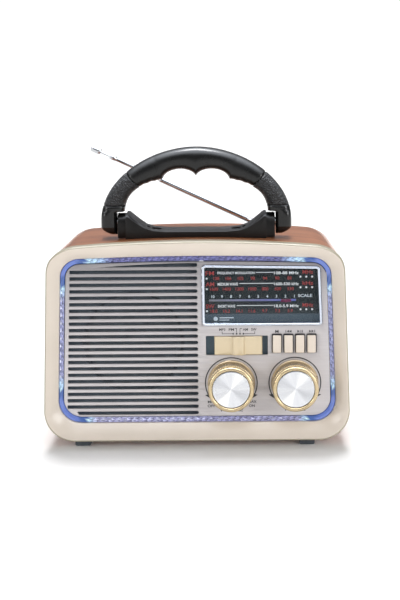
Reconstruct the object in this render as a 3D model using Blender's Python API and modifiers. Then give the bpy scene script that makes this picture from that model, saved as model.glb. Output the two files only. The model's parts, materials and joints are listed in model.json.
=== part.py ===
"""Portable table radio with a wood-grain case, cream bezel, light ring and fold-down carrying handle.

Lengths are written in millimetres and converted on the way into the meshes. In the helper frame X runs
to the right, Z runs up from the table and Y runs back from the front plane of the bezel. DEPTH_SHIFT
moves everything so that the finished radio is centred over its own footprint.
"""
import bpy
import bmesh
import math
from mathutils import Matrix
from mathutils import Vector

MM = 0.001
GAP = 0.3
DEPTH_SHIFT = 54.75

# Case outline, seen from the front
CASE_BOTTOM = 6.4
CASE_TOP = 166.5
SIDE_X = 120.6
SIDE_Z = 38.0
SIDE_LEAN = 0.0335
CROWN_DROP = 2.2
CROWN_X = 91.5
RIM_DROP = 1.6
RADIUS_TOP = 23.0
RADIUS_BOTTOM = 24.0

# Depths behind the front plane of the bezel
BEZEL_BACK = 10.0
PANEL_FRONT = 8.6
PANEL_BACK = 10.6
CASE_FRONT = 10.3
CASE_BACK = 110.0
COVER_FRONT = 103.0
COVER_BACK = 106.8
REAR_TAPER = 3.6
WALL = 5.0

# Light ring
RING_SIDE = 10.6
RING_TOP = 12.5
RING_BOTTOM = 13.7
RING_WIDTH_SIDE = 3.9
RING_WIDTH_END = 4.4
RING_RADIUS_TOP = 14.5
RING_RADIUS_BOTTOM = 18.0

# Loudspeaker slots
SLOT_COUNT = 24
SLOT_PITCH = 5.17
SLOT_HEIGHT = 2.8
SLOT_TOP_Z = 146.4
SLOT_RIGHT = 1.2
SLOT_LEFT_TOP = 99.2
SLOT_LEFT_LEAN = 0.0375
SPEAKER_X = -50.0
SPEAKER_Z = 84.0

# Dial
DIAL_LEFT = 4.8
DIAL_RIGHT_TOP = 97.6
DIAL_RIGHT_BOTTOM = 99.4
DIAL_TOP = 146.5
DIAL_BOTTOM = 97.9
DIAL_RIM = 2.0
POINTER_SLOT = (10.1, 78.8, 115.4, 118.0)
POINTER_X = 71.0

# Controls
SWITCH_WELL = (7.4, 56.3, 74.1, 89.6)
SLIDER = (14.0, 52.0, 74.5, 89.2)
BUTTON_X = (63.5, 72.6, 81.7, 90.8)
BUTTON_NAMES = ("mode", "previous", "play", "next")
BUTTON_SIZE = (6.7, 14.2)
BUTTON_Z = 83.3
VOLUME_X = 27.2
TUNING_X = 77.6
KNOB_Z = 51.4
KNOB_RADIUS = 18.0
KNOB_FRONT = -13.5

# Carrying handle
HANDLE_Y = 41.0
PIVOT_Z = 176.5
ARCH_Z = 178.5
ARCH_OUT = (76.4, 58.5, 1.9)
ARCH_IN = (57.5, 33.7, 2.87)
GRIP_END_OUT = 55.8
GRIP_END_IN = 44.8
SLEEVE_END_Z = 190.6
BASE_HALF = 56.0
EAR_OUT = 62.9
EAR_IN = 53.0
EAR_TOP = 184.0
VALLEY_Z = 170.7
SLOPE_X = 40.5
BASE_DEPTH = 14.0

# Telescopic antenna
ANT_X = 88.0
ANT_Y = 118.5
ANT_Z = 145.3
ANT_ANGLE = 25.2
REAR_MOST = 123.0

# Feet
FEET_X = (-91.8, 87.4)
FEET_Y = (17.2, 94.0)


def clear_scene():
    for item in list(bpy.data.objects):
        bpy.data.objects.remove(item, do_unlink=True)


def new_collection():
    group = bpy.data.collections.new("portable_radio")
    bpy.context.scene.collection.children.link(group)
    return group


def surface(name, colour, roughness, metallic=0.0, alpha=1.0):
    mat = bpy.data.materials.new(name)
    mat.use_nodes = True
    shader = mat.node_tree.nodes["Principled BSDF"]
    shader.inputs["Base Color"].default_value = (colour[0], colour[1], colour[2], 1.0)
    shader.inputs["Roughness"].default_value = roughness
    shader.inputs["Metallic"].default_value = metallic
    shader.inputs["Alpha"].default_value = alpha
    mat.diffuse_color = (colour[0], colour[1], colour[2], alpha)
    return mat


def to_metres(point):
    return Vector((point[0] * MM, (point[1] - DEPTH_SHIFT) * MM, point[2] * MM))


def add_part(name, bm, mat, join=True):
    """Store one closed body under its own name, its faces turned outwards."""
    if join:
        bmesh.ops.remove_doubles(bm, verts=bm.verts, dist=0.000001)
    bmesh.ops.recalc_face_normals(bm, faces=bm.faces)
    mesh = bpy.data.meshes.new(name)
    bm.to_mesh(mesh)
    bm.free()
    mesh.materials.append(mat)
    item = bpy.data.objects.new(name, mesh)
    GROUP.objects.link(item)
    return item


def skin(name, loops, mat, closed=False):
    """Cover a row of equal loops; closed joins the last loop to the first, otherwise both ends are capped."""
    bm = bmesh.new()
    rows = [[bm.verts.new(to_metres(p)) for p in loop] for loop in loops]
    count = len(rows[0])
    pairs = list(zip(rows[:-1], rows[1:]))
    if closed:
        pairs.append((rows[-1], rows[0]))
    for first, second in pairs:
        for i in range(count):
            j = (i + 1) % count
            bm.faces.new((first[i], first[j], second[j], second[i]))
    if not closed:
        bm.faces.new(list(reversed(rows[0])))
        bm.faces.new(rows[-1])
    return add_part(name, bm, mat)


def turned(name, profile, mat, centre, direction, segments=24, closed=False):
    """Turn a profile of (radius, distance) pairs about an axis through centre, which becomes its origin."""
    points = list(profile)
    if not closed:
        points = [(0.0, points[0][1])] + points + [(0.0, points[-1][1])]
    area = 0.0
    for here, there in zip(points, points[1:] + points[:1]):
        area += here[0] * there[1] - there[0] * here[1]
    if area > 0:
        points.reverse()
    bm = bmesh.new()
    chain = [bm.verts.new((radius * MM, 0.0, distance * MM)) for radius, distance in points]
    for here, there in zip(chain[:-1], chain[1:]):
        bm.edges.new((here, there))
    if closed:
        bm.edges.new((chain[-1], chain[0]))
    mesh = bpy.data.meshes.new(name)
    bm.to_mesh(mesh)
    bm.free()
    mesh.materials.append(mat)
    item = bpy.data.objects.new(name, mesh)
    GROUP.objects.link(item)
    item.rotation_mode = "QUATERNION"
    item.rotation_quaternion = Vector((0, 0, 1)).rotation_difference(Vector(direction).normalized())
    item.location = to_metres(centre)
    spin = item.modifiers.new("turn", "SCREW")
    spin.axis = "Z"
    spin.angle = 2 * math.pi
    spin.steps = segments
    spin.render_steps = segments
    spin.use_merge_vertices = True
    spin.merge_threshold = 0.00001
    spin.use_smooth_shade = False
    return item


def block(name, low, high, mat):
    """Box between two opposite corners, its origin at its middle."""
    size = [(b - a) * MM for a, b in zip(low, high)]
    bm = bmesh.new()
    bmesh.ops.create_cube(bm, size=1.0, matrix=Matrix.Diagonal((size[0], size[1], size[2], 1.0)))
    item = add_part(name, bm, mat)
    item.location = to_metres([(a + b) / 2 for a, b in zip(low, high)])
    return item


def set_origin(item, point):
    """Put the origin of a piece on its joint."""
    spot = to_metres(point)
    item.data.transform(Matrix.Translation(-spot))
    item.location = spot
    return item


def rounded_rectangle(x0, x1, z0, z1, radius, steps=4):
    """Corner points of a rectangle with rounded corners, as (x, z) pairs."""
    points = []
    centres = ((x1 - radius, z1 - radius), (x0 + radius, z1 - radius))
    centres = centres + ((x0 + radius, z0 + radius), (x1 - radius, z0 + radius))
    for quarter, (cx, cz) in enumerate(centres):
        for k in range(steps + 1):
            angle = math.pi / 2 * (quarter + k / steps)
            points.append((cx + radius * math.cos(angle), cz + radius * math.sin(angle)))
    return points


def circle(cx, cz, radius, steps=32):
    return [(cx + radius * math.cos(2 * math.pi * k / steps), cz + radius * math.sin(2 * math.pi * k / steps))
            for k in range(steps)]


def plate(name, outline, holes, y0, y1, mat):
    """Flat plate with holes, standing upright between two depths."""
    curve = bpy.data.curves.new(name, "CURVE")
    curve.dimensions = "2D"
    curve.fill_mode = "BOTH"
    curve.extrude = (y1 - y0) / 2 * MM
    for ring in [outline] + holes:
        spline = curve.splines.new("POLY")
        spline.points.add(len(ring) - 1)
        for point, (x, z) in zip(spline.points, ring):
            point.co = (x * MM, z * MM, 0.0, 1.0)
        spline.use_cyclic_u = True
    holder = bpy.data.objects.new(name + "_outline", curve)
    bpy.context.scene.collection.objects.link(holder)
    bpy.context.view_layer.update()
    graph = bpy.context.evaluated_depsgraph_get()
    mesh = bpy.data.meshes.new_from_object(holder.evaluated_get(graph))
    bm = bmesh.new()
    bm.from_mesh(mesh)
    bpy.data.objects.remove(holder, do_unlink=True)
    turn = Matrix.Rotation(math.pi / 2, 4, "X")
    shift = Matrix.Translation((0, ((y0 + y1) / 2 - DEPTH_SHIFT) * MM, 0))
    bmesh.ops.transform(bm, matrix=shift @ turn, verts=bm.verts)
    return add_part(name, bm, mat)


def carve(item, tool, operation="DIFFERENCE"):
    """Combine two solids exactly and drop the tool."""
    step = item.modifiers.new("carve", "BOOLEAN")
    step.operation = operation
    step.solver = "EXACT"
    step.object = tool
    bpy.context.view_layer.update()
    graph = bpy.context.evaluated_depsgraph_get()
    mesh = bpy.data.meshes.new_from_object(item.evaluated_get(graph))
    item.modifiers.clear()
    item.data = mesh
    bpy.data.objects.remove(tool, do_unlink=True)
    bm = bmesh.new()
    bm.from_mesh(mesh)
    bmesh.ops.remove_doubles(bm, verts=bm.verts, dist=0.000001)
    bmesh.ops.recalc_face_normals(bm, faces=bm.faces)
    bm.to_mesh(mesh)
    bm.free()
    return item


def crown(x, z):
    """How far the arched top falls away from its middle."""
    share = min(1.0, max(0.0, (z - 86.0) / 80.0))
    rim = min(1.0, max(0.0, (z - 154.0) / 12.0))
    return (CROWN_DROP * share + RIM_DROP * rim) * (x / CROWN_X) ** 2


def case_outline(side, top, bottom, r_top, r_bottom, flat=8, bend=6, upright=2):
    """Leaning, round-cornered case outline moved inwards by the given amounts, as (x, z) pairs."""
    lean = math.atan(SIDE_LEAN)
    reach = SIDE_X * math.cos(lean) + SIDE_Z * math.sin(lean) - side
    z_top = CASE_TOP - top
    z_bottom = CASE_BOTTOM + bottom
    cz_top = z_top - r_top
    cx_top = (reach - r_top - math.sin(lean) * cz_top) / math.cos(lean)
    cz_bottom = z_bottom + r_bottom
    cx_bottom = (reach - r_bottom - math.sin(lean) * cz_bottom) / math.cos(lean)
    right = []
    for k in range(flat):
        right.append((cx_top * k / flat, z_top))
    for k in range(bend + 1):
        angle = math.pi / 2 + (lean - math.pi / 2) * k / bend
        right.append((cx_top + r_top * math.cos(angle), cz_top + r_top * math.sin(angle)))
    start = right[-1]
    end = (cx_bottom + r_bottom * math.cos(lean), cz_bottom + r_bottom * math.sin(lean))
    for k in range(1, upright):
        share = k / upright
        right.append((start[0] + (end[0] - start[0]) * share, start[1] + (end[1] - start[1]) * share))
    for k in range(bend + 1):
        angle = lean + (-math.pi / 2 - lean) * k / bend
        right.append((cx_bottom + r_bottom * math.cos(angle), cz_bottom + r_bottom * math.sin(angle)))
    for k in range(1, flat // 2):
        right.append((cx_bottom * (1 - 2 * k / flat), z_bottom))
    points = right + [(0.0, z_bottom)] + [(-x, z) for x, z in reversed(right[1:])]
    return [(x, z - crown(x, z)) for x, z in points]


def at_depth(points, y):
    return [(x, y, z) for x, z in points]


def make_case():
    """Wood-grain sleeve of the case, open at both ends, slightly narrower at the back."""
    def ring(extra, y, taper):
        side = 1.0 + extra + REAR_TAPER * taper
        level = 0.8 + extra
        return at_depth(case_outline(side, level, level, RADIUS_TOP - 0.8 - extra * 0.9,
                                     RADIUS_BOTTOM - 0.8 - extra * 0.9), y)
    loops = [ring(0.0, CASE_FRONT, 0.0), ring(0.0, 60.0, 0.5), ring(0.0, CASE_BACK - 2.4, 1.0)]
    loops = loops + [ring(0.6, CASE_BACK - 0.7, 1.0), ring(2.0, CASE_BACK, 1.0)]
    loops = loops + [ring(WALL, CASE_BACK, 1.0), ring(WALL, CASE_FRONT, 0.0)]
    skin("cabinet_shell", loops, WOOD, closed=True)


def make_bezel():
    """Cream frame with a rounded lip and a dished face that slopes in to the light ring."""
    def ring(share, y, radius_share=None):
        side = RING_SIDE * share
        top = RING_TOP * share
        bottom = RING_BOTTOM * share
        r_top = RADIUS_TOP + (RING_RADIUS_TOP - RADIUS_TOP) * share
        r_bottom = RADIUS_BOTTOM + (RING_RADIUS_BOTTOM - RADIUS_BOTTOM) * share
        return at_depth(case_outline(side, top, bottom, r_top, r_bottom), y)
    steps = ((0.0, BEZEL_BACK), (0.0, 3.0), (0.03, 1.4), (0.1, 0.4), (0.2, 0.0), (0.3, 0.3), (0.5, 1.9))
    steps = steps + ((0.75, 4.3), (0.94, 6.2), (1.0, 7.2), (1.0, BEZEL_BACK))
    skin("front_bezel", [ring(s, y) for s, y in steps], CREAM, closed=True)


def ring_outline(extra):
    """Outline at a distance inside the outer edge of the light ring."""
    share_side = RING_SIDE + extra * RING_WIDTH_SIDE
    share_top = RING_TOP + extra * RING_WIDTH_END
    share_bottom = RING_BOTTOM + extra * RING_WIDTH_END
    return case_outline(share_side, share_top, share_bottom, RING_RADIUS_TOP - 3.6 * extra,
                        RING_RADIUS_BOTTOM - 3.6 * extra)


def make_light_ring():
    edge = GAP / RING_WIDTH_SIDE
    steps = ((edge, 11.6), (edge, 7.9), (0.2, 7.3), (0.5, 7.6), (0.85, 8.2), (1.0 - edge, 8.8), (1.0 - edge, 11.6))
    skin("light_ring", [at_depth(ring_outline(s), y) for s, y in steps], CLEAR, closed=True)


def slot_outline(index):
    """One loudspeaker slot: round right end, left end following the leaning side of the case."""
    z = SLOT_TOP_Z - SLOT_PITCH * index
    half = SLOT_HEIGHT / 2
    left = -(SLOT_LEFT_TOP + (141.0 - z) * SLOT_LEFT_LEAN)
    if index == 0:
        points = [(-75.0, z - half)]
        for k in range(6):
            points.append((SLOT_RIGHT + half * math.sin(math.pi * (k + 0.5) / 6) - half, z - half
                           + 3.0 * (k + 0.5) / 6))
        for k in range(9):
            x = -1.0 - 9.0 * k
            points.append((x, z - half + 3.1 * (1 - (x / 75.0) ** 2)))
        return points
    if index == SLOT_COUNT - 1:
        left = left + 8.0
    points = []
    for k in range(5):
        angle = -math.pi / 2 + math.pi * k / 4
        points.append((SLOT_RIGHT - half + half * math.cos(angle), z + half * math.sin(angle)))
    low_left = left + (1.5 if index == SLOT_COUNT - 1 else 0.5)
    points = points + [(left + 0.5, z + half), (left, z + half - 0.6), (low_left - 0.4, z - half + 0.5)]
    points.append((low_left, z - half))
    return points


def dial_outline(extra):
    """Dial frame outline, moved inwards by extra; the top edge follows the arch of the case."""
    x0 = DIAL_LEFT + extra
    z0 = DIAL_BOTTOM + extra
    z1 = DIAL_TOP - extra
    radius = max(0.8, 3.0 - extra)
    right = DIAL_RIGHT_TOP - extra
    points = []
    for x, z in rounded_rectangle(x0, right, z0, z1, radius):
        share = (z1 - z) / (z1 - z0)
        slide = (DIAL_RIGHT_BOTTOM - DIAL_RIGHT_TOP) * share * (x - x0) / (right - x0)
        fall = 1.6 * (1 - share) * (x - x0) / (right - x0)
        points.append((x + slide, z - fall))
    return points


def make_panel():
    """Champagne front plate with every slot, window and control hole cut through it."""
    inset = 1.0 + GAP / RING_WIDTH_SIDE
    holes = [slot_outline(k) for k in range(SLOT_COUNT)]
    holes.append(dial_outline(-GAP))
    holes.append(rounded_rectangle(*SWITCH_WELL, 0.6, 2))
    for x in BUTTON_X:
        half = (BUTTON_SIZE[0] / 2 + 0.45, BUTTON_SIZE[1] / 2 + 0.45)
        holes.append(rounded_rectangle(x - half[0], x + half[0], BUTTON_Z - half[1], BUTTON_Z + half[1], 0.8, 2))
    for x in (VOLUME_X, TUNING_X):
        holes.append(circle(x, KNOB_Z, 3.8, 20))
    plate("front_panel", ring_outline(inset), holes, PANEL_FRONT, PANEL_BACK, CHAMPAGNE)


def make_dial():
    """Bright frame, printed scale, clear window and the pointer that slides along the scale."""
    steps = ((0.0, 13.0), (0.0, 7.4), (0.5, 6.8), (DIAL_RIM - 0.4, 6.8), (DIAL_RIM, 7.4), (DIAL_RIM, 13.0))
    skin("dial_frame", [at_depth(dial_outline(e), y) for e, y in steps], BRIGHT, closed=True)
    plate("dial_window", dial_outline(DIAL_RIM + GAP), [], 9.2, 10.2, WINDOW)
    x0, x1, z0, z1 = POINTER_SLOT
    groove = rounded_rectangle(x0, x1, z0, z1, 0.4, 2)
    plate("dial_scale", dial_outline(0.3), [groove], 13.3, 14.3, BLACK)
    z = (z0 + z1) / 2
    loops = []
    for y, half_x, half_z in ((11.4, 0.5, 1.0), (11.8, 0.8, 1.0), (16.6, 0.8, 1.0), (16.6, 4.0, 4.0), (21.4, 4.0, 4.0)):
        loops.append(at_depth([(POINTER_X + sx * half_x, z + sz * half_z) for sx, sz in
                               ((-1, -1), (1, -1), (1, 1), (-1, 1))], y))
    pointer = skin("tuning_pointer", loops, RED)
    bore = turned("bore", ((1.9, -10.0), (1.9, 10.0)), RED, (POINTER_X, 19.0, z), (1, 0, 0), 16)
    carve(pointer, bore)
    set_origin(pointer, (POINTER_X, 19.0, z))
    turned("pointer_rail", ((1.5, 4.0), (1.5, 92.0)), STEEL, (0, 19.0, z), (1, 0, 0), 16)


def make_band_switch():
    """Slider with a finger ridge, in a dark well."""
    x0, x1, z0, z1 = SLIDER
    middle = (x0 + x1) / 2
    profile = [(x0, 8.6), (x0 + 0.5, 7.6), (x0 + 3.0, 7.2), (middle - 6.0, 6.8), (middle - 4.6, 6.2)]
    for k in range(4):
        crest = middle - 4.0 + 2.4 * k
        profile = profile + [(crest, 4.6), (crest + 1.0, 4.6), (crest + 1.6, 5.4)]
    profile = profile[:-1] + [(middle + 4.8, 6.2), (middle + 6.0, 6.8), (x1 - 3.0, 7.2), (x1 - 0.5, 7.6), (x1, 8.6)]
    loops = []
    for x, y in profile:
        loops.append([(x, 11.6, z0), (x, 11.6, z1), (x, y + 0.6, z1), (x, y, z1 - 0.5), (x, y, z0 + 0.5),
                      (x, y + 0.6, z0)])
    slider = skin("band_slider", loops, GOLD_CREAM)
    set_origin(slider, (middle, 8.6, (z0 + z1) / 2))
    block("switch_well", (5.4, 12.0, 72.0), (58.3, 17.0, 91.8), BLACK)


def make_buttons():
    """Four cream push buttons with a hidden flange behind the plate, and the key board behind them."""
    half_x = BUTTON_SIZE[0] / 2
    half_z = BUTTON_SIZE[1] / 2
    for name, x in zip(BUTTON_NAMES, BUTTON_X):
        loops = []
        for y, out in ((5.2, -0.9), (5.4, -0.4), (6.0, 0.0), (10.9, 0.0), (10.9, 0.8), (12.2, 0.8)):
            ring = rounded_rectangle(x - half_x - out, x + half_x + out, BUTTON_Z - half_z - out,
                                     BUTTON_Z + half_z + out, 0.7, 3)
            loops.append(at_depth(ring, y))
        key = skin("button_" + name, loops, CREAM_KEY)
        set_origin(key, (x, 8.6, BUTTON_Z))
    block("key_board", (58.8, 14.6, 75.0), (97.0, 16.2, 94.0), CIRCUIT)


def make_knob(prefix, x, metal):
    """Knob with a smooth front rim, a spun metal disc, its shaft and the fixed collar ring beneath it."""
    front = KNOB_FRONT
    r = KNOB_RADIUS
    profile = ((15.0, front + 4.0), (15.0, front + 0.9), (15.4, front + 0.3), (16.4, front), (17.5, front + 0.5))
    profile = profile + ((r, front + 1.5), (r, front + 4.4), (r - 0.35, front + 4.9), (r - 0.35, 3.4))
    profile = profile + ((r - 0.9, 4.4), (3.4, 4.4), (3.4, front + 4.0))
    axis = (x, 0, KNOB_Z)
    turned(prefix + "_knob", profile, metal, axis, (0, 1, 0), 40, True)
    disc = ((3.0, front + 1.5), (14.3, front + 0.9), (14.7, front + 1.2), (14.7, front + 3.7), (3.0, front + 3.7))
    turned(prefix + "_disc", disc, SPUN, axis, (0, 1, 0), 32)
    turned(prefix + "_shaft", ((3.0, front + 4.1), (3.0, 21.0)), STEEL, axis, (0, 1, 0), 14)
    turned(prefix + "_ring", ((18.8, 7.2), (18.3, 6.6), (4.4, 6.6), (4.4, 8.3), (18.8, 8.3)), metal, axis,
           (0, 1, 0), 28, True)


def make_drives():
    """Volume control, tuning capacitor and the drum that pulls the pointer along."""
    turned("volume_control", ((8.5, 21.4), (8.5, 32.0)), STEEL, (VOLUME_X, 0, KNOB_Z), (0, 1, 0), 16)
    turned("dial_drum", ((14.1, 12.5), (13.4, 13.6), (14.1, 14.7), (3.1, 14.7), (3.1, 12.5)), DARK,
           (TUNING_X, 0, KNOB_Z), (0, 1, 0), 40, True)
    block("tuning_capacitor", (TUNING_X - 12, 21.4, KNOB_Z - 12), (TUNING_X + 12, 38.0, KNOB_Z + 12), CLEAR_GREY)


def make_speaker():
    """Baffle, basket, paper cone and magnet behind the slots."""
    x = SPEAKER_X
    z = SPEAKER_Z
    board = [(-107.0, 24.0), (2.6, 24.0), (2.6, 149.0), (-101.0, 149.0)]
    plate("speaker_baffle", board, [circle(x, z, 41.0, 24)], 15.0, 17.4, DARK)
    basket = ((46.0, 17.7), (46.0, 19.4), (41.0, 19.8), (21.0, 36.0), (12.0, 36.0), (12.0, 34.6), (20.2, 34.6))
    basket = basket + ((39.6, 18.6), (39.6, 17.7))
    turned("speaker_basket", basket, DARK, (x, 0, z), (0, 1, 0), 24, True)
    cone = ((1.0, 24.0), (6.0, 25.0), (10.0, 27.6), (33.0, 18.8), (35.6, 17.8), (38.6, 18.4), (38.2, 19.0))
    cone = cone + ((35.6, 18.7), (33.4, 19.9), (10.4, 29.0), (1.0, 29.0))
    turned("speaker_cone", cone, PAPER, (x, 0, z), (0, 1, 0), 24)
    turned("speaker_magnet", ((20.0, 36.3), (22.0, 37.3), (22.0, 51.0), (20.0, 52.0)), STEEL, (x, 0, z), (0, 1, 0), 20)


def outer_arch(x):
    wide, high, power = ARCH_OUT
    return ARCH_Z + high * max(0.0, 1 - (abs(x) / wide) ** power) ** (1 / power)


def inner_arch(x):
    """Underside of the handle with its two finger grooves."""
    wide, high, power = ARCH_IN
    plain = ARCH_Z + high * max(0.0, 1 - (abs(x) / wide) ** power) ** (1 / power)
    if abs(x) > 26.5:
        return plain
    groove = 7.2 * math.sqrt(max(0.0, 1 - ((abs(x) - 13.2) / 13.3) ** 2))
    cusp = 1.6 * max(0.0, 1 - abs(x) / 3.0)
    return min(plain, 212.3) + max(groove, cusp)


def arch_x(shape, z):
    wide, high, power = shape
    share = min(1.0, max(0.0, (z - ARCH_Z) / high))
    return wide * (1 - share ** power) ** (1 / power)


def handle_section(outer, inner, half_depth, points=14, power=2.6):
    """Soft-cornered section of the handle between an outer and an inner point."""
    loop = []
    for k in range(points):
        angle = 2 * math.pi * k / points
        c = math.cos(angle)
        s = math.sin(angle)
        a = math.copysign(abs(c) ** (2 / power), c)
        b = math.copysign(abs(s) ** (2 / power), s)
        x = (outer[0] + inner[0]) / 2 + a * (outer[0] - inner[0]) / 2
        z = (outer[1] + inner[1]) / 2 + a * (outer[1] - inner[1]) / 2
        loop.append((x, HANDLE_Y + b * half_depth, z))
    return loop


def make_grip():
    loops = []
    for k in range(37):
        t = -1 + 2 * k / 36
        x_out = GRIP_END_OUT * t
        x_in = GRIP_END_IN * t
        loops.append(handle_section((x_out, outer_arch(x_out)), (x_in, inner_arch(x_in)), 11.0))
    grip = skin("handle_grip", loops, BLACK_GRIP)
    set_origin(grip, (0.0, HANDLE_Y, PIVOT_Z))


def make_sleeve(side, name):
    """Textured sleeve between the grip and the arm."""
    start_out = outer_arch(GRIP_END_OUT)
    start_in = inner_arch(GRIP_END_IN)
    loops = []
    for k in range(9):
        t = k / 8
        z_out = start_out + (SLEEVE_END_Z - start_out) * t
        z_in = start_in + (SLEEVE_END_Z - start_in) * t
        shift = 0.35 * (1 - t)
        outer = (side * (arch_x(ARCH_OUT, z_out) + shift), z_out - shift)
        inner = (side * (arch_x(ARCH_IN, z_in) + shift), z_in - shift)
        loops.append(handle_section(outer, inner, 11.0 - 1.2 * t))
    sleeve = skin("handle_sleeve_" + name, loops, BLACK_SLEEVE)
    set_origin(sleeve, (0.0, HANDLE_Y, PIVOT_Z))


def make_arm(side, name):
    """Lower arm of the handle: steps over the ear of the base, then a round end about the pivot."""
    top = SLEEVE_END_Z - 0.35
    levels = ((top, 0), (188.0, 0), (185.6, 0), (185.2, 1), (182.0, 1), (178.5, 1), (175.0, 1), (172.0, 1))
    levels = levels + ((169.6, 1), (168.0, 1), (166.9, 1))
    loops = []
    for z, low in levels:
        x_out = arch_x(ARCH_OUT, z)
        if z < 174.0:
            x_out = x_out - 8.2 * ((174.0 - z) / 7.1) ** 2.2
        x_in = EAR_OUT + GAP + 0.3 if low else arch_x(ARCH_IN, z)
        depth = 9.3
        if z < PIVOT_Z:
            depth = min(9.3, math.sqrt(max(1.0, 10.0 ** 2 - (PIVOT_Z - z) ** 2)))
        loops.append(handle_section((side * x_out, z), (side * x_in, z), depth, 14, 3.4))
    arm = skin("handle_arm_" + name, loops, BLACK_ARM)
    hole = turned("hole", ((3.3, 60.0), (3.3, 71.3)), BLACK_ARM, (0, HANDLE_Y, PIVOT_Z), (side, 0, 0), 20)
    carve(arm, hole)
    set_origin(arm, (0.0, HANDLE_Y, PIVOT_Z))
    turned("handle_pin_" + name, ((3.2, 53.0), (3.2, 71.0)), STEEL, (0, HANDLE_Y, PIVOT_Z), (side, 0, 0), 20)


def case_top(x):
    return CASE_TOP - 0.8 - crown(x, CASE_TOP)


def make_handle_base():
    """Black saddle on top of the case, with a dished middle and an ear at each end for the pivots."""
    right = [(SLOPE_X - 6.0, VALLEY_Z + 0.9), (SLOPE_X, VALLEY_Z + 2.9), (SLOPE_X + 4.0, VALLEY_Z + 5.6)]
    right = right + [(EAR_IN - 3.0, EAR_TOP - 3.4), (EAR_IN, EAR_TOP - 0.8), (EAR_IN + 1.4, EAR_TOP)]
    right = right + [(BASE_HALF, EAR_TOP)]
    low = [(BASE_HALF * (1 - k / 6), case_top(BASE_HALF * (1 - k / 6)) + GAP) for k in range(13)]
    profile = [(-24.0, VALLEY_Z), (24.0, VALLEY_Z)] + right + low + [(-x, z) for x, z in reversed(right)]
    centre_loops = []
    for y, shrink in ((HANDLE_Y - BASE_DEPTH, 1.8), (HANDLE_Y - BASE_DEPTH + 1.8, 0.0),
                      (HANDLE_Y + BASE_DEPTH - 1.8, 0.0), (HANDLE_Y + BASE_DEPTH, 1.8)):
        ring = []
        for index, (x, z) in enumerate(profile):
            drop = shrink * min(1.0, max(0.3, (z - VALLEY_Z) / 10.0)) if z > case_top(x) + 2.0 else 0.0
            ring.append((x, y, z - drop))
        centre_loops.append(ring)
    base = skin("handle_base", centre_loops, BLACK_BASE)
    for side in (-1, 1):
        side_profile = [(-8.1, -12.0), (8.1, -12.0), (8.1, 0.0)]
        for k in range(1, 8):
            angle = math.pi * k / 8
            side_profile.append((8.1 * math.cos(angle), 7.5 * math.sin(angle)))
        side_profile.append((-8.1, 0.0))
        loops = []
        for x in (BASE_HALF - 2.0, EAR_OUT - 0.5, EAR_OUT):
            loop = []
            for y, z in side_profile:
                height = PIVOT_Z + z
                if z < -11.0:
                    height = case_top(BASE_HALF - 2.0) + GAP + 0.05
                ease = 0.94 if x == EAR_OUT else 1.0
                loop.append((side * x, HANDLE_Y + y * ease, height if z < 0 else PIVOT_Z + z * ease))
            loops.append(loop)
        ear = skin("ear", loops, BLACK_BASE)
        carve(base, ear, "UNION")
        hole = turned("hole", ((3.3, 52.0), (3.3, 66.0)), BLACK_BASE, (0, HANDLE_Y, PIVOT_Z), (side, 0, 0), 20)
        carve(base, hole)
        well = turned("well", ((6.0, 168.2), (6.4, 175.0)), BLACK_BASE, (side * 34.0, HANDLE_Y - 1.0, 0), (0, 0, 1), 24)
        carve(base, well)
        turned("base_screw_" + ("left" if side < 0 else "right"), ((4.2, 168.5), (4.2, 169.4), (3.0, 170.2)), STEEL,
               (side * 34.0, HANDLE_Y - 1.0, 0), (0, 0, 1), 20)


def make_rear():
    """Rear cover with vents, battery door, cells, socket, and the boards inside."""
    outline = case_outline(1.0 + REAR_TAPER + WALL + GAP, 0.8 + WALL + GAP, 0.8 + WALL + GAP, 17.0, 18.0)
    holes = [rounded_rectangle(-70.0, 4.0, 18.0, 90.0, 2.0, 3)]
    for k in range(7):
        z = 104.0 + 5.5 * k
        holes.append(rounded_rectangle(-70.0, 4.0, z, z + 2.4, 1.1, 3))
    holes.append(rounded_rectangle(52.6, 67.4, 36.3, 43.7, 0.6, 2))
    plate("rear_cover", outline, holes, COVER_FRONT, COVER_BACK, DARK)
    loops = []
    for y, out in ((COVER_FRONT + 0.6, 0.0), (COVER_BACK - 0.6, 0.0), (COVER_BACK, -0.6)):
        loops.append(at_depth(rounded_rectangle(-69.6 - out, 3.6 + out, 18.4 - out, 89.6 + out, 1.6, 3), y))
    door = skin("battery_door", loops, DARK)
    set_origin(door, (-33.0, 106.2, 19.5))
    tray_out = [(-73.0, 15.0), (7.0, 15.0), (7.0, 93.0), (-73.0, 93.0)]
    tray_in = [(-69.0, 18.6), (3.0, 18.6), (3.0, 89.4), (-69.0, 89.4)]
    loops = [at_depth(tray_out, 61.0), at_depth(tray_out, 102.6), at_depth(tray_in, 102.6), at_depth(tray_in, 63.0)]
    skin("battery_tray", loops, DARK)
    for name, z in (("lower", 36.3), ("upper", 71.7)):
        cell = ((15.0, -31.0), (16.6, -30.0), (16.6, 28.4), (15.4, 29.4), (5.0, 29.6), (4.8, 31.0))
        turned("battery_cell_" + name, cell, CELL, (-33.0, 82.0, z), (1, 0, 0), 16)
    outer = rounded_rectangle(53.0, 67.0, 36.7, 43.3, 0.6, 2)
    inner = rounded_rectangle(53.9, 66.1, 37.7, 42.3, 0.3, 2)
    loops = [at_depth(outer, 94.0), at_depth(outer, 106.6), at_depth(inner, 106.6), at_depth(inner, 95.0)]
    skin("usb_socket", loops, STEEL)
    block("main_board", (12.0, 54.0, 22.0), (98.0, 55.6, 140.0), CIRCUIT)
    turned("ferrite_rod", ((4.5, -50.0), (4.5, 50.0)), DARK, (30.0, 84.0, 147.0), (1, 0, 0), 20)


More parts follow.
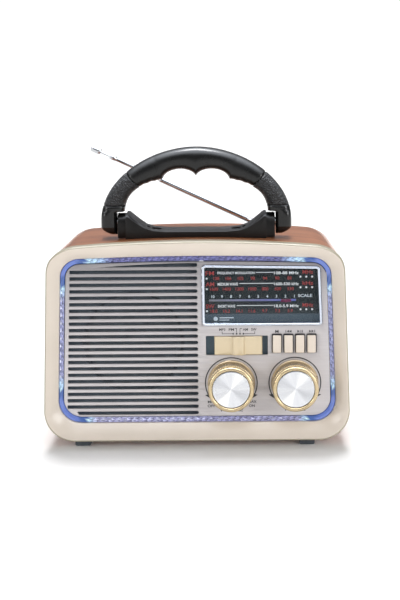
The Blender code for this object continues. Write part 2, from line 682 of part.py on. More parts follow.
def make_antenna():
    """Swivelling, tilting telescopic antenna on the back of the case."""
    d = Vector((-math.cos(math.radians(ANT_ANGLE)), 0, math.sin(math.radians(ANT_ANGLE))))
    n = Vector((d.z, 0, -d.x))
    pivot = Vector((ANT_X, ANT_Y, ANT_Z))
    turned("antenna_bracket", ((9.0, 107.1), (9.0, 111.4), (7.6, 112.8)), DARK, (ANT_X, 0, ANT_Z), (0, 1, 0), 28)
    knuckle = turned("antenna_knuckle", ((5.6, 113.1), (5.6, 121.4), (4.6, REAR_MOST)), CHROME,
                     (ANT_X, 0, ANT_Z), (0, 1, 0), 28)
    loops = []
    for y in (115.0, 125.0):
        corners = ((-8.0, -2.8), (8.0, -2.8), (8.0, 2.8), (-8.0, 2.8))
        loops.append([Vector((ANT_X, y, ANT_Z)) + d * along + n * across for along, across in corners])
    carve(knuckle, skin("fork_slot", loops, CHROME))
    outer = ((1.4, -2.9), (2.45, -1.6), (2.45, 133.6), (2.2, 134.4), (2.0, 134.4), (2.0, 25.0))
    turned("antenna_section_1", outer, CHROME, pivot, d, 20)
    middle = ((1.75, 64.0), (1.75, 175.0), (2.2, 175.6), (2.2, 180.6), (1.8, 181.2), (1.2, 181.2), (1.2, 72.0))
    turned("antenna_section_2", middle, CHROME, pivot, d, 18)
    inner = ((0.9, 100.0), (0.9, 189.6), (2.0, 189.8), (2.7, 190.6), (2.7, 197.6), (1.8, 198.8))
    turned("antenna_section_3", inner, CHROME, pivot, d, 16)


def make_feet():
    for row, y in zip(("front", "rear"), FEET_Y):
        for side, x in zip(("left", "right"), FEET_X):
            loops = []
            for z, half in ((0.0, 5.6), (0.5, 6.1), (6.9, 6.3)):
                ring = rounded_rectangle(x - half, x + half, y - half, y + half, 1.2, 3)
                loops.append([(a, b, z) for a, b in ring])
            skin("foot_" + row + "_" + side, loops, RUBBER)


clear_scene()
GROUP = new_collection()
WOOD = surface("wood_grain", (0.42, 0.2, 0.1), 0.3)
CREAM = surface("cream_plastic", (0.78, 0.68, 0.55), 0.35)
CREAM_KEY = surface("cream_keys", (0.76, 0.66, 0.52), 0.35)
CLEAR = surface("clear_light_plastic", (0.5, 0.52, 0.9), 0.1, 0.0, 0.6)
CHAMPAGNE = surface("champagne_plate", (0.45, 0.41, 0.38), 0.35, 0.7)
BRIGHT = surface("bright_frame", (0.78, 0.8, 0.86), 0.15, 1.0)
WINDOW = surface("clear_window", (0.9, 0.92, 0.95), 0.05, 0.0, 0.15)
BLACK = surface("black_print", (0.015, 0.016, 0.02), 0.4)
RED = surface("red_pointer", (0.6, 0.03, 0.03), 0.4)
STEEL = surface("zinc_steel", (0.6, 0.6, 0.6), 0.3, 1.0)
GOLD_CREAM = surface("gold_cream", (0.66, 0.55, 0.36), 0.3, 0.4)
CIRCUIT = surface("circuit_board", (0.08, 0.25, 0.12), 0.5)
GOLD = surface("gold_knob", (0.62, 0.5, 0.3), 0.25, 0.8)
SPUN = surface("spun_aluminium", (0.8, 0.79, 0.77), 0.25, 1.0)
DARK = surface("dark_plastic", (0.03, 0.03, 0.035), 0.5)
CLEAR_GREY = surface("capacitor_case", (0.5, 0.5, 0.5), 0.4)
PAPER = surface("speaker_paper", (0.06, 0.06, 0.06), 0.8)
BLACK_GRIP = surface("black_grip", (0.02, 0.021, 0.022), 0.4)
BLACK_SLEEVE = surface("black_sleeve", (0.015, 0.015, 0.015), 0.7)
BLACK_ARM = surface("black_arm", (0.02, 0.021, 0.022), 0.35)
BLACK_BASE = surface("black_base", (0.02, 0.02, 0.021), 0.45)
CELL = surface("cell_jacket", (0.25, 0.27, 0.3), 0.35, 0.5)
CHROME = surface("chrome", (0.75, 0.75, 0.76), 0.1, 1.0)
RUBBER = surface("rubber", (0.03, 0.03, 0.03), 0.8)

make_case()
make_bezel()
make_light_ring()
make_panel()
make_dial()
make_band_switch()
make_buttons()
make_knob("volume", VOLUME_X, GOLD)
make_knob("tuning", TUNING_X, GOLD)
make_drives()
make_speaker()
make_handle_base()
make_grip()
for hand, label in ((-1, "left"), (1, "right")):
    make_sleeve(hand, label)
    make_arm(hand, label)
make_rear()
make_antenna()
make_feet()
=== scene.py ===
"""Looks for the portable table radio: fine surfaces, materials, print, camera and light.

Lengths are written in millimetres in the helper frame of the part: X to the right, Y back from the front
plane of the bezel, Z up from the table. place() turns them into the row frame.
"""
import bpy
import bmesh
import json
import math
from mathutils import Matrix, Quaternion, Vector


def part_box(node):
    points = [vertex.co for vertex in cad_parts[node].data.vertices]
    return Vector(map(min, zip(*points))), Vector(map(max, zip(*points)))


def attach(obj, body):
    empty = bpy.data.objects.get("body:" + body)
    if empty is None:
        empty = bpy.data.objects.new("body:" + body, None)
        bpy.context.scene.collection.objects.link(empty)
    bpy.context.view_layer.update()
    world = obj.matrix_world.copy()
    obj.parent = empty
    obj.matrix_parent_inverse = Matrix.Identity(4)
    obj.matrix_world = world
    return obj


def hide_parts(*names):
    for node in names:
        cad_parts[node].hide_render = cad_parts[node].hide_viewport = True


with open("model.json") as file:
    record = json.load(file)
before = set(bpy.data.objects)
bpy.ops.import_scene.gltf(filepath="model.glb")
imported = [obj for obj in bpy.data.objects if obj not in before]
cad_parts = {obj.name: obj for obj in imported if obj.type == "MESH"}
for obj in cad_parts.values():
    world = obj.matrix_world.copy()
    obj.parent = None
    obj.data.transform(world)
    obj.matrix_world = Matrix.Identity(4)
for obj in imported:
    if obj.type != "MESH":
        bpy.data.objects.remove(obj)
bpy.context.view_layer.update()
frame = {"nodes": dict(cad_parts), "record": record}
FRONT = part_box("front_bezel")[0].y
BODY_OF = {}
for body_name, members in frame["record"]["behaviour"]["bodies"].items():
    for member in members:
        BODY_OF[member] = body_name
SLOT_OF = {}
for entry in frame["record"].get("subparts", []):
    SLOT_OF[entry["node"]] = entry.get("material_slot")


def place(x, y, z):
    """Millimetres in the helper frame, as a point in metres in the row frame."""
    return Vector((x * 0.001, FRONT + y * 0.001, z * 0.001))


def add_object(name, data):
    item = bpy.data.objects.new(name, data)
    bpy.context.scene.collection.objects.link(item)
    return item


def mesh_object(name, bm, mat):
    """Turn a bmesh into an object with one material."""
    mesh = bpy.data.meshes.new(name)
    bm.to_mesh(mesh)
    bm.free()
    mesh.materials.append(mat)
    return add_object(name, mesh)


def curve_mesh(name, curve):
    """The filled mesh of an outline or a text."""
    holder = add_object(name, curve)
    bpy.context.view_layer.update()
    graph = bpy.context.evaluated_depsgraph_get()
    mesh = bpy.data.meshes.new_from_object(holder.evaluated_get(graph))
    bpy.data.objects.remove(holder, do_unlink=True)
    return mesh


# ---------------------------------------------------------------- materials

def fill_band(band, stops):
    """Give a colour ramp its stops, each a position and a colour."""
    while len(band.elements) > 1:
        band.elements.remove(band.elements[-1])
    band.elements[0].position = stops[0][0]
    band.elements[0].color = (*stops[0][1], 1)
    for position, colour in stops[1:]:
        band.elements.new(position).color = (*colour, 1)


class Look:
    """A Principled material with short helpers for its procedural nodes."""

    def __init__(self, name, **plain):
        self.mat = bpy.data.materials.new(name)
        self.mat.use_nodes = True
        self.tree = self.mat.node_tree
        self.shader = self.tree.nodes["Principled BSDF"]
        for socket, value in plain.items():
            self.shader.inputs[socket.replace("_", " ")].default_value = value
        self.where = self.add("ShaderNodeTexCoord").outputs["Object"]

    def feed(self, socket, value):
        """Link another node's output to a socket, or set the socket to a number or a colour."""
        if isinstance(value, bpy.types.NodeSocket):
            self.tree.links.new(value, socket)
        else:
            socket.default_value = value

    def add(self, kind, inputs=None, **settings):
        node = self.tree.nodes.new(kind)
        for key, value in settings.items():
            setattr(node, key, value)
        for key, value in (inputs or {}).items():
            self.feed(node.inputs[key], value)
        return node

    def stretched(self, scale):
        return self.add("ShaderNodeMapping", {"Vector": self.where, "Scale": scale}).outputs["Vector"]

    def noise(self, scale, detail=3.0, rough=0.5, vector=None, twist=0.0):
        inputs = {"Vector": vector or self.where, "Scale": scale, "Detail": detail, "Roughness": rough,
                  "Distortion": twist}
        return self.add("ShaderNodeTexNoise", inputs).outputs["Fac"]

    def cells(self, scale, feature="F1"):
        inputs = {"Vector": self.where, "Scale": scale}
        return self.add("ShaderNodeTexVoronoi", inputs, feature=feature).outputs["Distance"]

    def ramp(self, source, stops):
        node = self.add("ShaderNodeValToRGB", {"Fac": source})
        fill_band(node.color_ramp, stops)
        return node.outputs["Color"]

    def drift(self, source, low, high):
        return self.ramp(source, ((0.3, low), (0.7, high)))

    def mix(self, share, a, b, kind="MIX"):
        node = self.add("ShaderNodeMix", data_type="RGBA", blend_type=kind)
        for name, value in (("Factor", share), ("A", a), ("B", b)):
            socket = [s for s in node.inputs if s.name == name and s.enabled][0]
            self.feed(socket, (*value, 1) if isinstance(value, tuple) else value)
        return [s for s in node.outputs if s.enabled][0]

    def multiply(self, share, a, b):
        return self.mix(share, a, b, "MULTIPLY")

    def maths(self, kind, *values):
        return self.add("ShaderNodeMath", dict(enumerate(values)), operation=kind).outputs[0]

    def axis(self, name):
        return self.add("ShaderNodeSeparateXYZ", {0: self.where}).outputs[name]

    def span(self, source, a, b, low=0.0, high=1.0):
        inputs = {"Value": source, "From Min": a, "From Max": b, "To Min": low, "To Max": high}
        return self.add("ShaderNodeMapRange", inputs).outputs["Result"]

    def shade(self, name, value):
        self.feed(self.shader.inputs[name], value)

    def colour(self, source):
        self.shade("Base Color", source)

    def emit(self, source, strength):
        self.shade("Emission Color", source)
        self.shade("Emission Strength", strength)

    def rough(self, source, low, high):
        self.shade("Roughness", self.span(source, 0.3, 0.7, low, high))

    def bump(self, height, strength, distance):
        node = self.add("ShaderNodeBump", {"Height": height, "Strength": strength, "Distance": distance})
        self.shade("Normal", node.outputs["Normal"])


def mottled(name, colour, spread, scale=180.0, rough=(0.3, 0.4), bump=0.05, depth=0.0002, grain=1400.0,
            **plain):
    """Moulded or sprayed surface: slight colour drift, uneven gloss and a fine moulded grain."""
    look = Look(name, **plain)
    drift = look.noise(scale, 4.0, 0.6)
    low = tuple(c * (1 - spread) for c in colour)
    high = tuple(min(1.0, c * (1 + spread)) for c in colour)
    look.colour(look.drift(drift, low, high))
    look.rough(look.noise(scale * 0.4, 3.0), rough[0], rough[1])
    look.bump(look.noise(grain, 2.0), bump, depth)
    return look.mat


def wood():
    """Printed wood grain under a clear film: long bands, fine pores and darker streaks."""
    look = Look("wood_film", Coat_Weight=0.6, Coat_Roughness=0.12, Coat_IOR=1.4, Specular_IOR_Level=0.2)
    flow = look.stretched((3.0, 70.0, 3.0))
    bands = look.noise(1.0, 4.0, 0.55, flow, 0.6)
    base = look.ramp(bands, ((0.28, (0.2, 0.07, 0.032)), (0.45, (0.38, 0.14, 0.06)),
                             (0.6, (0.47, 0.19, 0.085)), (0.75, (0.36, 0.15, 0.07))))
    fine = look.noise(1.0, 5.0, 0.7, look.stretched((14.0, 900.0, 14.0)), 0.3)
    pores = look.ramp(fine, ((0.36, (0.28, 0.2, 0.17)), (0.5, (1, 1, 1))))
    dark = look.noise(1.0, 2.0, 0.5, look.stretched((2.2, 150.0, 2.2)), 1.2)
    streak = look.ramp(dark, ((0.3, (0.35, 0.33, 0.34)), (0.42, (1, 1, 1))))
    both = look.multiply(0.75, base, pores)
    look.colour(look.multiply(0.8, both, streak))
    look.rough(fine, 0.28, 0.4)
    look.bump(fine, 0.04, 0.0001)
    return look.mat


def brushed_panel():
    """Champagne metal with level brush lines, and painted shade that darkens it towards its top."""
    look = Look("champagne_metal", Metallic=0.3, Specular_IOR_Level=0.3)
    lines = look.noise(1.0, 3.0, 0.6, look.stretched((25.0, 600.0, 2600.0)))
    cloud = look.noise(16.0, 2.0)
    tone = look.drift(lines, (0.5, 0.475, 0.48), (0.59, 0.56, 0.565))
    haze = look.mix(0.3, tone, look.drift(cloud, (0.5, 0.475, 0.48), (0.6, 0.57, 0.575)))
    # Painted shade: the colour darkens with height towards the top of the plate.
    rise = look.ramp(look.span(look.axis("Z"), 0.03, 0.15), (
        (0.0, (1, 1, 1)), (0.45, (0.95, 0.95, 0.95)), (0.8, (0.76, 0.76, 0.77)), (1.0, (0.48, 0.48, 0.49))))
    look.colour(look.multiply(1.0, haze, rise))
    look.rough(lines, 0.3, 0.42)
    look.bump(lines, 0.05, 0.0001)
    return look.mat


def pearl():
    """Cream paint with fine pearl flakes under a thin clear coat."""
    look = Look("pearl_cream", Coat_Weight=0.25, Coat_Roughness=0.15, Specular_IOR_Level=0.35)
    drift = look.noise(22.0, 3.0)
    flakes = look.cells(5200.0)
    tone = look.drift(drift, (0.615, 0.55, 0.475), (0.675, 0.605, 0.53))
    shine = look.ramp(flakes, ((0.1, (1.0, 0.99, 0.98)), (0.6, (0.96, 0.95, 0.94))))
    look.colour(look.multiply(0.6, tone, shine))
    look.rough(look.noise(90.0, 3.0), 0.3, 0.38)
    look.bump(look.noise(1600.0, 2.0), 0.02, 0.0001)
    return look.mat


def spun(name, colour, centre, **plain):
    """Metal turned on a lathe: fine rings about the knob's axis, and painted highlights, bright and dark
    wedges at fixed angles round the disc, set in its colour.
    """
    look = Look(name, Metallic=1.0, Anisotropic=0.9, **plain)
    shift = look.add("ShaderNodeVectorMath", {0: look.where, 1: centre}, operation="SUBTRACT")
    split = look.add("ShaderNodeSeparateXYZ", {0: shift.outputs[0]})
    x, z = split.outputs["X"], split.outputs["Z"]
    radius = look.maths("SQRT", look.maths("ADD", look.maths("MULTIPLY", x, x), look.maths("MULTIPLY", z, z)))
    rings = look.maths("SINE", look.maths("MULTIPLY", radius, 16000.0))
    tone = look.ramp(look.span(rings, -1.0, 1.0), ((0.0, tuple(c * 0.93 for c in colour)), (1.0, colour)))
    # Painted highlights: the waves by angle below set fixed bright and dark wedges in the colour.
    angle = look.maths("ARCTAN2", z, x)
    twice = look.maths("COSINE", look.maths("SUBTRACT", look.maths("MULTIPLY", angle, 2.0), 1.9))
    thrice = look.maths("COSINE", look.maths("MULTIPLY", angle, 6.0))
    many = look.maths("SINE", look.maths("MULTIPLY", angle, 23.0))
    painted_ray_wave = look.maths("ADD", look.maths("MULTIPLY", twice, 0.6), look.maths("MULTIPLY", thrice, 0.34))
    painted_ray_wave = look.maths("ADD", painted_ray_wave, look.maths("MULTIPLY", many, 0.1))
    painted_highlight_rays = look.ramp(look.span(painted_ray_wave, -0.9, 0.95), (
        (0.0, (0.66, 0.67, 0.7)), (0.45, (0.76, 0.77, 0.8)), (0.7, (0.86, 0.87, 0.88)), (0.85, (1, 1, 1))))
    look.colour(look.multiply(1.0, tone, painted_highlight_rays))
    look.shade("Roughness", look.span(rings, -1.0, 1.0, 0.2, 0.27))
    around = look.add("ShaderNodeCombineXYZ", {"X": z, "Z": look.maths("MULTIPLY", x, -1.0)})
    unit = look.add("ShaderNodeVectorMath", {0: around.outputs[0]}, operation="NORMALIZE")
    look.shade("Tangent", unit.outputs[0])
    return look.mat


def leathery(name):
    """Grained black sleeve: pebbled bump like leathercloth."""
    look = Look(name, Specular_IOR_Level=0.36)
    pebbles = look.cells(520.0, "DISTANCE_TO_EDGE")
    soft = look.noise(700.0, 3.0)
    look.colour(look.ramp(pebbles, ((0.0, (0.005, 0.005, 0.0055)), (0.2, (0.014, 0.0145, 0.0155)))))
    look.rough(soft, 0.28, 0.4)
    look.bump(look.maths("ADD", look.maths("MINIMUM", pebbles, 0.25), look.maths("MULTIPLY", soft, 0.2)),
              1.0, 0.0016)
    return look.mat


def glow(name):
    """Clear plastic lit from behind; the light's colour is stored on the mesh, by its place on the ring, with
    painted facet highlights and shade.
    """
    look = Look(name, IOR=1.45, Roughness=0.12, Coat_Weight=0.6, Coat_Roughness=0.06)
    light = look.add("ShaderNodeVertexColor", layer_name="glow").outputs["Color"]
    speckle = look.drift(look.noise(520.0, 2.0), (0.9, 0.9, 0.92), (1, 1, 1))
    tinted = look.multiply(0.8, light, speckle)
    look.colour(look.multiply(1.0, tinted, (0.35, 0.35, 0.35)))
    look.emit(tinted, 0.78)
    return look.mat


def scale_board():
    """Dark printed board, a touch lighter towards its foot, with a slate strip along the bottom."""
    look = Look("scale_board", Specular_IOR_Level=0.1)
    height = look.axis("Z")
    tone = look.ramp(look.span(height, 0.098, 0.145), (
        (0.0, (0.085, 0.12, 0.15)), (0.165, (0.1, 0.14, 0.175)), (0.185, (0.045, 0.058, 0.066)),
        (0.5, (0.022, 0.032, 0.036)), (1.0, (0.014, 0.022, 0.026))))
    fleck = look.drift(look.noise(900.0, 2.0), (0.85, 0.85, 0.85), (1, 1, 1))
    look.colour(look.multiply(1.0, tone, fleck))
    look.rough(look.noise(200.0, 2.0), 0.3, 0.4)
    return look.mat


def light_bar():
    """Lit strip behind the pointer, turning from grey to blue to the right."""
    look = Look("light_bar", Roughness=0.2)
    run = look.span(look.axis("X"), 0.010, 0.079)
    tone = look.ramp(run, ((0.0, (0.28, 0.29, 0.33)), (0.4, (0.24, 0.26, 0.42)), (1.0, (0.17, 0.2, 0.62))))
    soft = look.drift(look.noise(300.0, 2.0), (0.88, 0.88, 0.9), (1, 1, 1))
    lit = look.multiply(1.0, tone, soft)
    look.colour(lit)
    look.emit(lit, 0.7)
    return look.mat


def printed(name, colour, lit=0.0):
    """Slightly uneven ink, which may glow a little."""
    look = Look(name, Roughness=0.45)
    ink = look.ramp(look.noise(2600.0, 2.0), ((0.25, tuple(c * 0.8 for c in colour)), (0.6, colour)))
    look.colour(ink)
    if lit:
        look.emit(ink, lit)
    return look.mat


WOOD = wood()
CREAM = pearl()
LIP = mottled("lip_tan", (0.34, 0.305, 0.225), 0.04, 60.0, (0.3, 0.4), 0.02, 0.0001)
CREAM_KEY = mottled("cream_key", (0.66, 0.58, 0.5), 0.03, 60.0, (0.28, 0.36), 0.02, 0.0001, Coat_Weight=0.3)
CHAMPAGNE = brushed_panel()
BRIGHT = mottled("bright_frame", (0.62, 0.67, 0.76), 0.03, 60.0, (0.16, 0.24), 0.02, 0.0001, Metallic=0.8)
WINDOW = mottled("clear_window", (0.02, 0.022, 0.025), 0.1, 60.0, (0.03, 0.05), 0.0, Alpha=0.12)
BOARD = scale_board()
BAR = light_bar()
# The pointer's glow is painted light; the pointer is no lamp.
RED = mottled("red_pointer", (0.2, 0.04, 0.1), 0.08, 200.0, (0.3, 0.4), Emission_Color=(0.3, 0.05, 0.16, 1),
              Emission_Strength=0.25)
STEEL = mottled("zinc_steel", (0.5, 0.5, 0.51), 0.15, 260.0, (0.22, 0.4), 0.06, Metallic=1.0)
COLLAR = mottled("collar_gold", (0.5, 0.4, 0.27), 0.08, 120.0, (0.25, 0.35), 0.03, 0.0001, Metallic=0.5)
GOLD_CREAM = mottled("gold_cream", (0.62, 0.515, 0.35), 0.03, 50.0, (0.22, 0.3), 0.02, 0.0001, Metallic=0.25,
                     Coat_Weight=0.5, Coat_Roughness=0.1)
GOLD = mottled("gold_knob", (0.54, 0.43, 0.26), 0.04, 80.0, (0.2, 0.3), 0.02, 0.0001, Metallic=0.75)
DARK = mottled("dark_plastic", (0.022, 0.023, 0.026), 0.12, 150.0, (0.38, 0.52), 0.12)
SLATE = mottled("slate_cloth", (0.075, 0.095, 0.115), 0.15, 300.0, (0.6, 0.8), 0.4, 0.0004, 2400.0)
PAPER = mottled("speaker_paper", (0.07, 0.085, 0.1), 0.2, 120.0, (0.7, 0.9), 0.5, 0.0004, 900.0)
BLACK_GRIP = mottled("black_grip", (0.004, 0.0042, 0.0042), 0.1, 90.0, (0.24, 0.32), 0.03,
                     0.0001, Specular_IOR_Level=0.38)
BLACK_ARM = mottled("black_arm", (0.004, 0.0042, 0.0042), 0.1, 90.0, (0.2, 0.28), 0.02,
                    0.0001, Specular_IOR_Level=0.42)
BLACK_BASE = mottled("black_base", (0.005, 0.0046, 0.0044), 0.1, 90.0, (0.28, 0.38), 0.06,
                     0.0002, Specular_IOR_Level=0.32)
SLEEVE = leathery("black_sleeve")
CELL = mottled("cell_jacket", (0.2, 0.22, 0.26), 0.1, 120.0, (0.25, 0.35), Metallic=0.6)
CHROME = mottled("chrome", (0.5, 0.51, 0.53), 0.02, 80.0, (0.05, 0.12), 0.01, 0.0001, Metallic=1.0)
RUBBER = mottled("rubber", (0.06, 0.072, 0.084), 0.15, 240.0, (0.6, 0.75), 0.3, 0.0003)
CIRCUIT = mottled("circuit_board", (0.03, 0.13, 0.06), 0.2, 400.0, (0.3, 0.5), 0.1)
CASE_GREY = mottled("capacitor_case", (0.35, 0.35, 0.36), 0.08, 200.0, (0.3, 0.5), 0.1)
GLOW = glow("ring_glow")
INK_DARK = printed("ink_dark", (0.03, 0.03, 0.035))
INK_WHITE = printed("ink_white", (0.8, 0.84, 0.88), 0.2)
INK_RED = printed("ink_red", (0.42, 0.035, 0.035), 0.15)
INK_ICE = printed("ink_ice", (0.62, 0.72, 0.8), 0.15)


# ---------------------------------------------------------------- mesh helpers

def store(name, bm, mat, body, slot=None, nodes=(), angle=35.0):
    """Turn a bmesh into a piece that rides on a body, stands for CAD nodes and is smooth up to an angle."""
    bmesh.ops.remove_doubles(bm, verts=bm.verts, dist=0.000001)
    bmesh.ops.recalc_face_normals(bm, faces=bm.faces)
    item = mesh_object(name, bm, mat)
    item.data.shade_smooth()
    item.data.set_sharp_from_angle(angle=math.radians(angle))
    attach(item, body)
    if nodes:
        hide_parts(*nodes)
        slot = slot or SLOT_OF.get(nodes[0])
    return item


def stand_in(node, bm, mat, angle=35.0):
    """A piece that stands for one CAD node, and takes its name and its body."""
    return store(node + "_fine", bm, mat, BODY_OF[node], None, (node,), angle)


def skin(bm, rows, closed):
    """Faces between equal rows of points; a closed skin joins the last row to the first, or it is capped."""
    pairs = list(zip(rows[:-1], rows[1:]))
    if closed:
        pairs.append((rows[-1], rows[0]))
    for first, second in pairs:
        for i in range(len(first)):
            j = (i + 1) % len(first)
            bm.faces.new((first[i], first[j], second[j], second[i]))
    if not closed:
        bm.faces.new(list(reversed(rows[0])))
        bm.faces.new(rows[-1])
    return bm


def loft(loops, closed=False):
    """Skin a row of equal loops of points."""
    bm = bmesh.new()
    return skin(bm, [[bm.verts.new(place(*p)) for p in loop] for loop in loops], closed)


def lathe(profile, centre, direction, segments, radius_at=None, closed=False):
    """Turn (radius, distance) pairs about an axis; radius_at may flute the radius by angle."""
    bm = bmesh.new()
    turn = Vector((0, 0, 1)).rotation_difference(Vector(direction).normalized())
    base = place(*centre)
    rings = []
    for index, (radius, distance) in enumerate(profile):
        ring = []
        for k in range(segments):
            angle = 2 * math.pi * k / segments
            r = radius_at(index, radius, k) if radius_at else radius
            point = Vector((r * math.cos(angle), r * math.sin(angle), distance)) * 0.001
            ring.append(bm.verts.new(base + turn @ point))
        rings.append(ring)
    return skin(bm, rings, closed)


def refine(node, mat, bevel=0.0003, angle=35.0, segments=2):
    """Same solid as a CAD node, with its edges softened and its round faces smooth."""
    bm = bmesh.new()
    bm.from_mesh(frame["nodes"][node].data)
    step = stand_in(node, bm, mat, angle).modifiers.new("soft", "BEVEL")
    step.width = bevel
    step.segments = segments
    step.limit_method = "ANGLE"
    step.angle_limit = math.radians(angle)
    step.harden_normals = True


def paint(node, mat):
    """A CAD node that keeps showing, with a better material."""
    mesh = frame["nodes"][node].data
    mesh.materials.clear()
    mesh.materials.append(mat)


def between(a, b, share):
    return a[0] + (b[0] - a[0]) * share, a[1] + (b[1] - a[1]) * share


def bow(cx, cz, radius, start, end, steps):
    """Points along part of a circle."""
    angles = [start + (end - start) * k / steps for k in range(steps + 1)]
    return [(cx + radius * math.cos(angle), cz + radius * math.sin(angle)) for angle in angles]


def rounded_rectangle(x0, x1, z0, z1, radius, steps=8):
    centres = ((x1 - radius, z1 - radius), (x0 + radius, z1 - radius),
               (x0 + radius, z0 + radius), (x1 - radius, z0 + radius))
    points = []
    for corner, (cx, cz) in enumerate(centres):
        points += bow(cx, cz, radius, math.pi / 2 * corner, math.pi / 2 * (corner + 1), steps)
    return points


def circle(cx, cz, radius, steps=64):
    return bow(cx, cz, radius, 0.0, 2 * math.pi, steps)[:-1]


def plate(name, outline, holes, y0, y1, mat, body, nodes, edge=0.2):
    """Flat plate with holes and softened edges, standing upright between two depths."""
    curve = bpy.data.curves.new(name, "CURVE")
    curve.dimensions = "2D"
    curve.fill_mode = "BOTH"
    curve.extrude = ((y1 - y0) / 2 - edge) * 0.001
    curve.bevel_depth = edge * 0.001
    curve.bevel_resolution = 1
    curve.offset = -edge * 0.001
    for ring in [outline] + holes:
        spline = curve.splines.new("POLY")
        spline.points.add(len(ring) - 1)
        for point, (x, z) in zip(spline.points, ring):
            point.co = (x * 0.001, z * 0.001, 0.0, 1.0)
        spline.use_cyclic_u = True
    bm = bmesh.new()
    bm.from_mesh(curve_mesh(name + "_outline", curve))
    turn = Matrix.Rotation(math.pi / 2, 4, "X")
    shift = Matrix.Translation((0, FRONT + (y0 + y1) / 2 * 0.001, 0))
    bmesh.ops.transform(bm, matrix=shift @ turn, verts=bm.verts)
    return store(name, bm, mat, body, None, nodes, 30.0)


def at_depth(points, y):
    """A flat outline set at a depth behind the bezel's front."""
    return [(x, y, z) for x, z in points]


def quarter(steps):
    """Angles of a quarter turn in equal steps."""
    return [math.pi / 2 * k / steps for k in range(steps + 1)]


# ---------------------------------------------------------------- outlines shared with the part

CASE_BOTTOM, CASE_TOP = 6.4, 166.5
SIDE_X, SIDE_Z, SIDE_LEAN = 120.6, 38.0, 0.0335
CROWN_DROP, RIM_DROP, CROWN_X = 2.2, 1.6, 91.5
RADIUS_TOP, RADIUS_BOTTOM = 23.0, 24.0
SLEEVE_IN_SIDE, SLEEVE_IN_LEVEL, SLEEVE_TAPER, SLEEVE_WALL = 1.0, 0.8, 3.6, 5.0
RING_SIDE, RING_TOP, RING_BOTTOM = 10.6, 12.5, 13.7
RING_WIDTH_SIDE, RING_WIDTH_END = 3.9, 4.4
RING_RADIUS_TOP, RING_RADIUS_BOTTOM = 14.5, 18.0
RING_BACK = 11.0
GAP = 0.3


def crown(x, z):
    """How far the bowed top and its rim drop at a place on the case."""
    share = min(1.0, max(0.0, (z - 86.0) / 80.0))
    rim = min(1.0, max(0.0, (z - 154.0) / 12.0))
    return (CROWN_DROP * share + RIM_DROP * rim) * (x / CROWN_X) ** 2


def case_outline(side, top, bottom, r_top, r_bottom, flat=24, bend=20, upright=8):
    """Leaning, round-cornered case outline moved inwards by the given amounts."""
    lean = math.atan(SIDE_LEAN)
    reach = SIDE_X * math.cos(lean) + SIDE_Z * math.sin(lean) - side
    z_top = CASE_TOP - top
    z_bottom = CASE_BOTTOM + bottom
    cz_top = z_top - r_top
    cx_top = (reach - r_top - math.sin(lean) * cz_top) / math.cos(lean)
    cz_bottom = z_bottom + r_bottom
    cx_bottom = (reach - r_bottom - math.sin(lean) * cz_bottom) / math.cos(lean)
    right = [(cx_top * k / flat, z_top) for k in range(flat)]
    right += bow(cx_top, cz_top, r_top, math.pi / 2, lean, bend)
    low = bow(cx_bottom, cz_bottom, r_bottom, lean, -math.pi / 2, bend)
    start = right[-1]
    right += [between(start, low[0], k / upright) for k in range(1, upright)] + low
    right += [(cx_bottom * (1 - 2 * k / flat), z_bottom) for k in range(1, flat // 2)]
    points = right + [(0.0, z_bottom)] + [(-x, z) for x, z in reversed(right[1:])]
    return [(x, z - crown(x, z)) for x, z in points]


def ring_outline(extra, **steps):
    """Outline between the outer edge of the light ring, 0, and its inner edge, 1."""
    return case_outline(RING_SIDE + extra * RING_WIDTH_SIDE, RING_TOP + extra * RING_WIDTH_END,
                        RING_BOTTOM + extra * RING_WIDTH_END, RING_RADIUS_TOP - 3.6 * extra,
                        RING_RADIUS_BOTTOM - 3.6 * extra, **steps)


# ---------------------------------------------------------------- case

def make_case():
    """Wood-grain sleeve that narrows a little towards its rounded back edge."""
    front, back, edge = 10.3, 110.0, 2.4

    def ring(extra, y, taper):
        side = SLEEVE_IN_SIDE + extra + SLEEVE_TAPER * taper
        level = SLEEVE_IN_LEVEL + extra
        return at_depth(case_outline(side, level, level, RADIUS_TOP - SLEEVE_IN_LEVEL - extra * 0.9,
                                     RADIUS_BOTTOM - SLEEVE_IN_LEVEL - extra * 0.9), y)
    loops = [ring(0.0, front, 0.0), ring(0.0, 35.0, 0.25), ring(0.0, 60.0, 0.5), ring(0.0, 84.0, 0.75)]
    for angle in quarter(6):
        loops.append(ring(edge * (1 - math.cos(angle)), back - edge + edge * math.sin(angle), 1.0))
    loops += [ring(SLEEVE_WALL, back, 1.0), ring(SLEEVE_WALL, front, 0.0)]
    store("case_fine", loft(loops, True), WOOD, "case", None, ("cabinet_shell",), 40.0)


def make_bezel():
    """Cream bezel: a tan lip round the case, a rounded rim, and a slope down to the light ring."""
    def ring(share, y):
        return at_depth(case_outline(RING_SIDE * share, RING_TOP * share, RING_BOTTOM * share,
                                     RADIUS_TOP + (RING_RADIUS_TOP - RADIUS_TOP) * share,
                                     RADIUS_BOTTOM + (RING_RADIUS_BOTTOM - RADIUS_BOTTOM) * share), y)
    rim_share, rim_depth, slope_share, slope_depth = 0.13, 2.2, 0.85, 6.75
    steps = [(0.0, 10.0), (0.0, 6.5), (0.0, rim_depth)]
    for angle in quarter(8)[1:]:
        steps.append((rim_share * (1 - math.cos(angle)), rim_depth - rim_depth * math.sin(angle)))
    wall = len(steps) - 2
    for k in range(1, 13):
        t = k / 12
        steps.append((rim_share + slope_share * t, slope_depth * (0.5 * t + 0.5 * t * t)))
    steps += [(0.992, 7.0), (1.0, 7.5), (1.0, 10.0)]
    bm = loft([ring(s, y) for s, y in steps], True)
    count = len(case_outline(0.0, 0.0, 0.0, RADIUS_TOP, RADIUS_BOTTOM))
    for index, face in enumerate(bm.faces):
        if index < count * wall:
            face.material_index = 1
    bezel = store("bezel_fine", bm, CREAM, "case", None, ("front_bezel",), 50.0)
    bezel.data.materials.append(LIP)


# ---------------------------------------------------------------- light ring

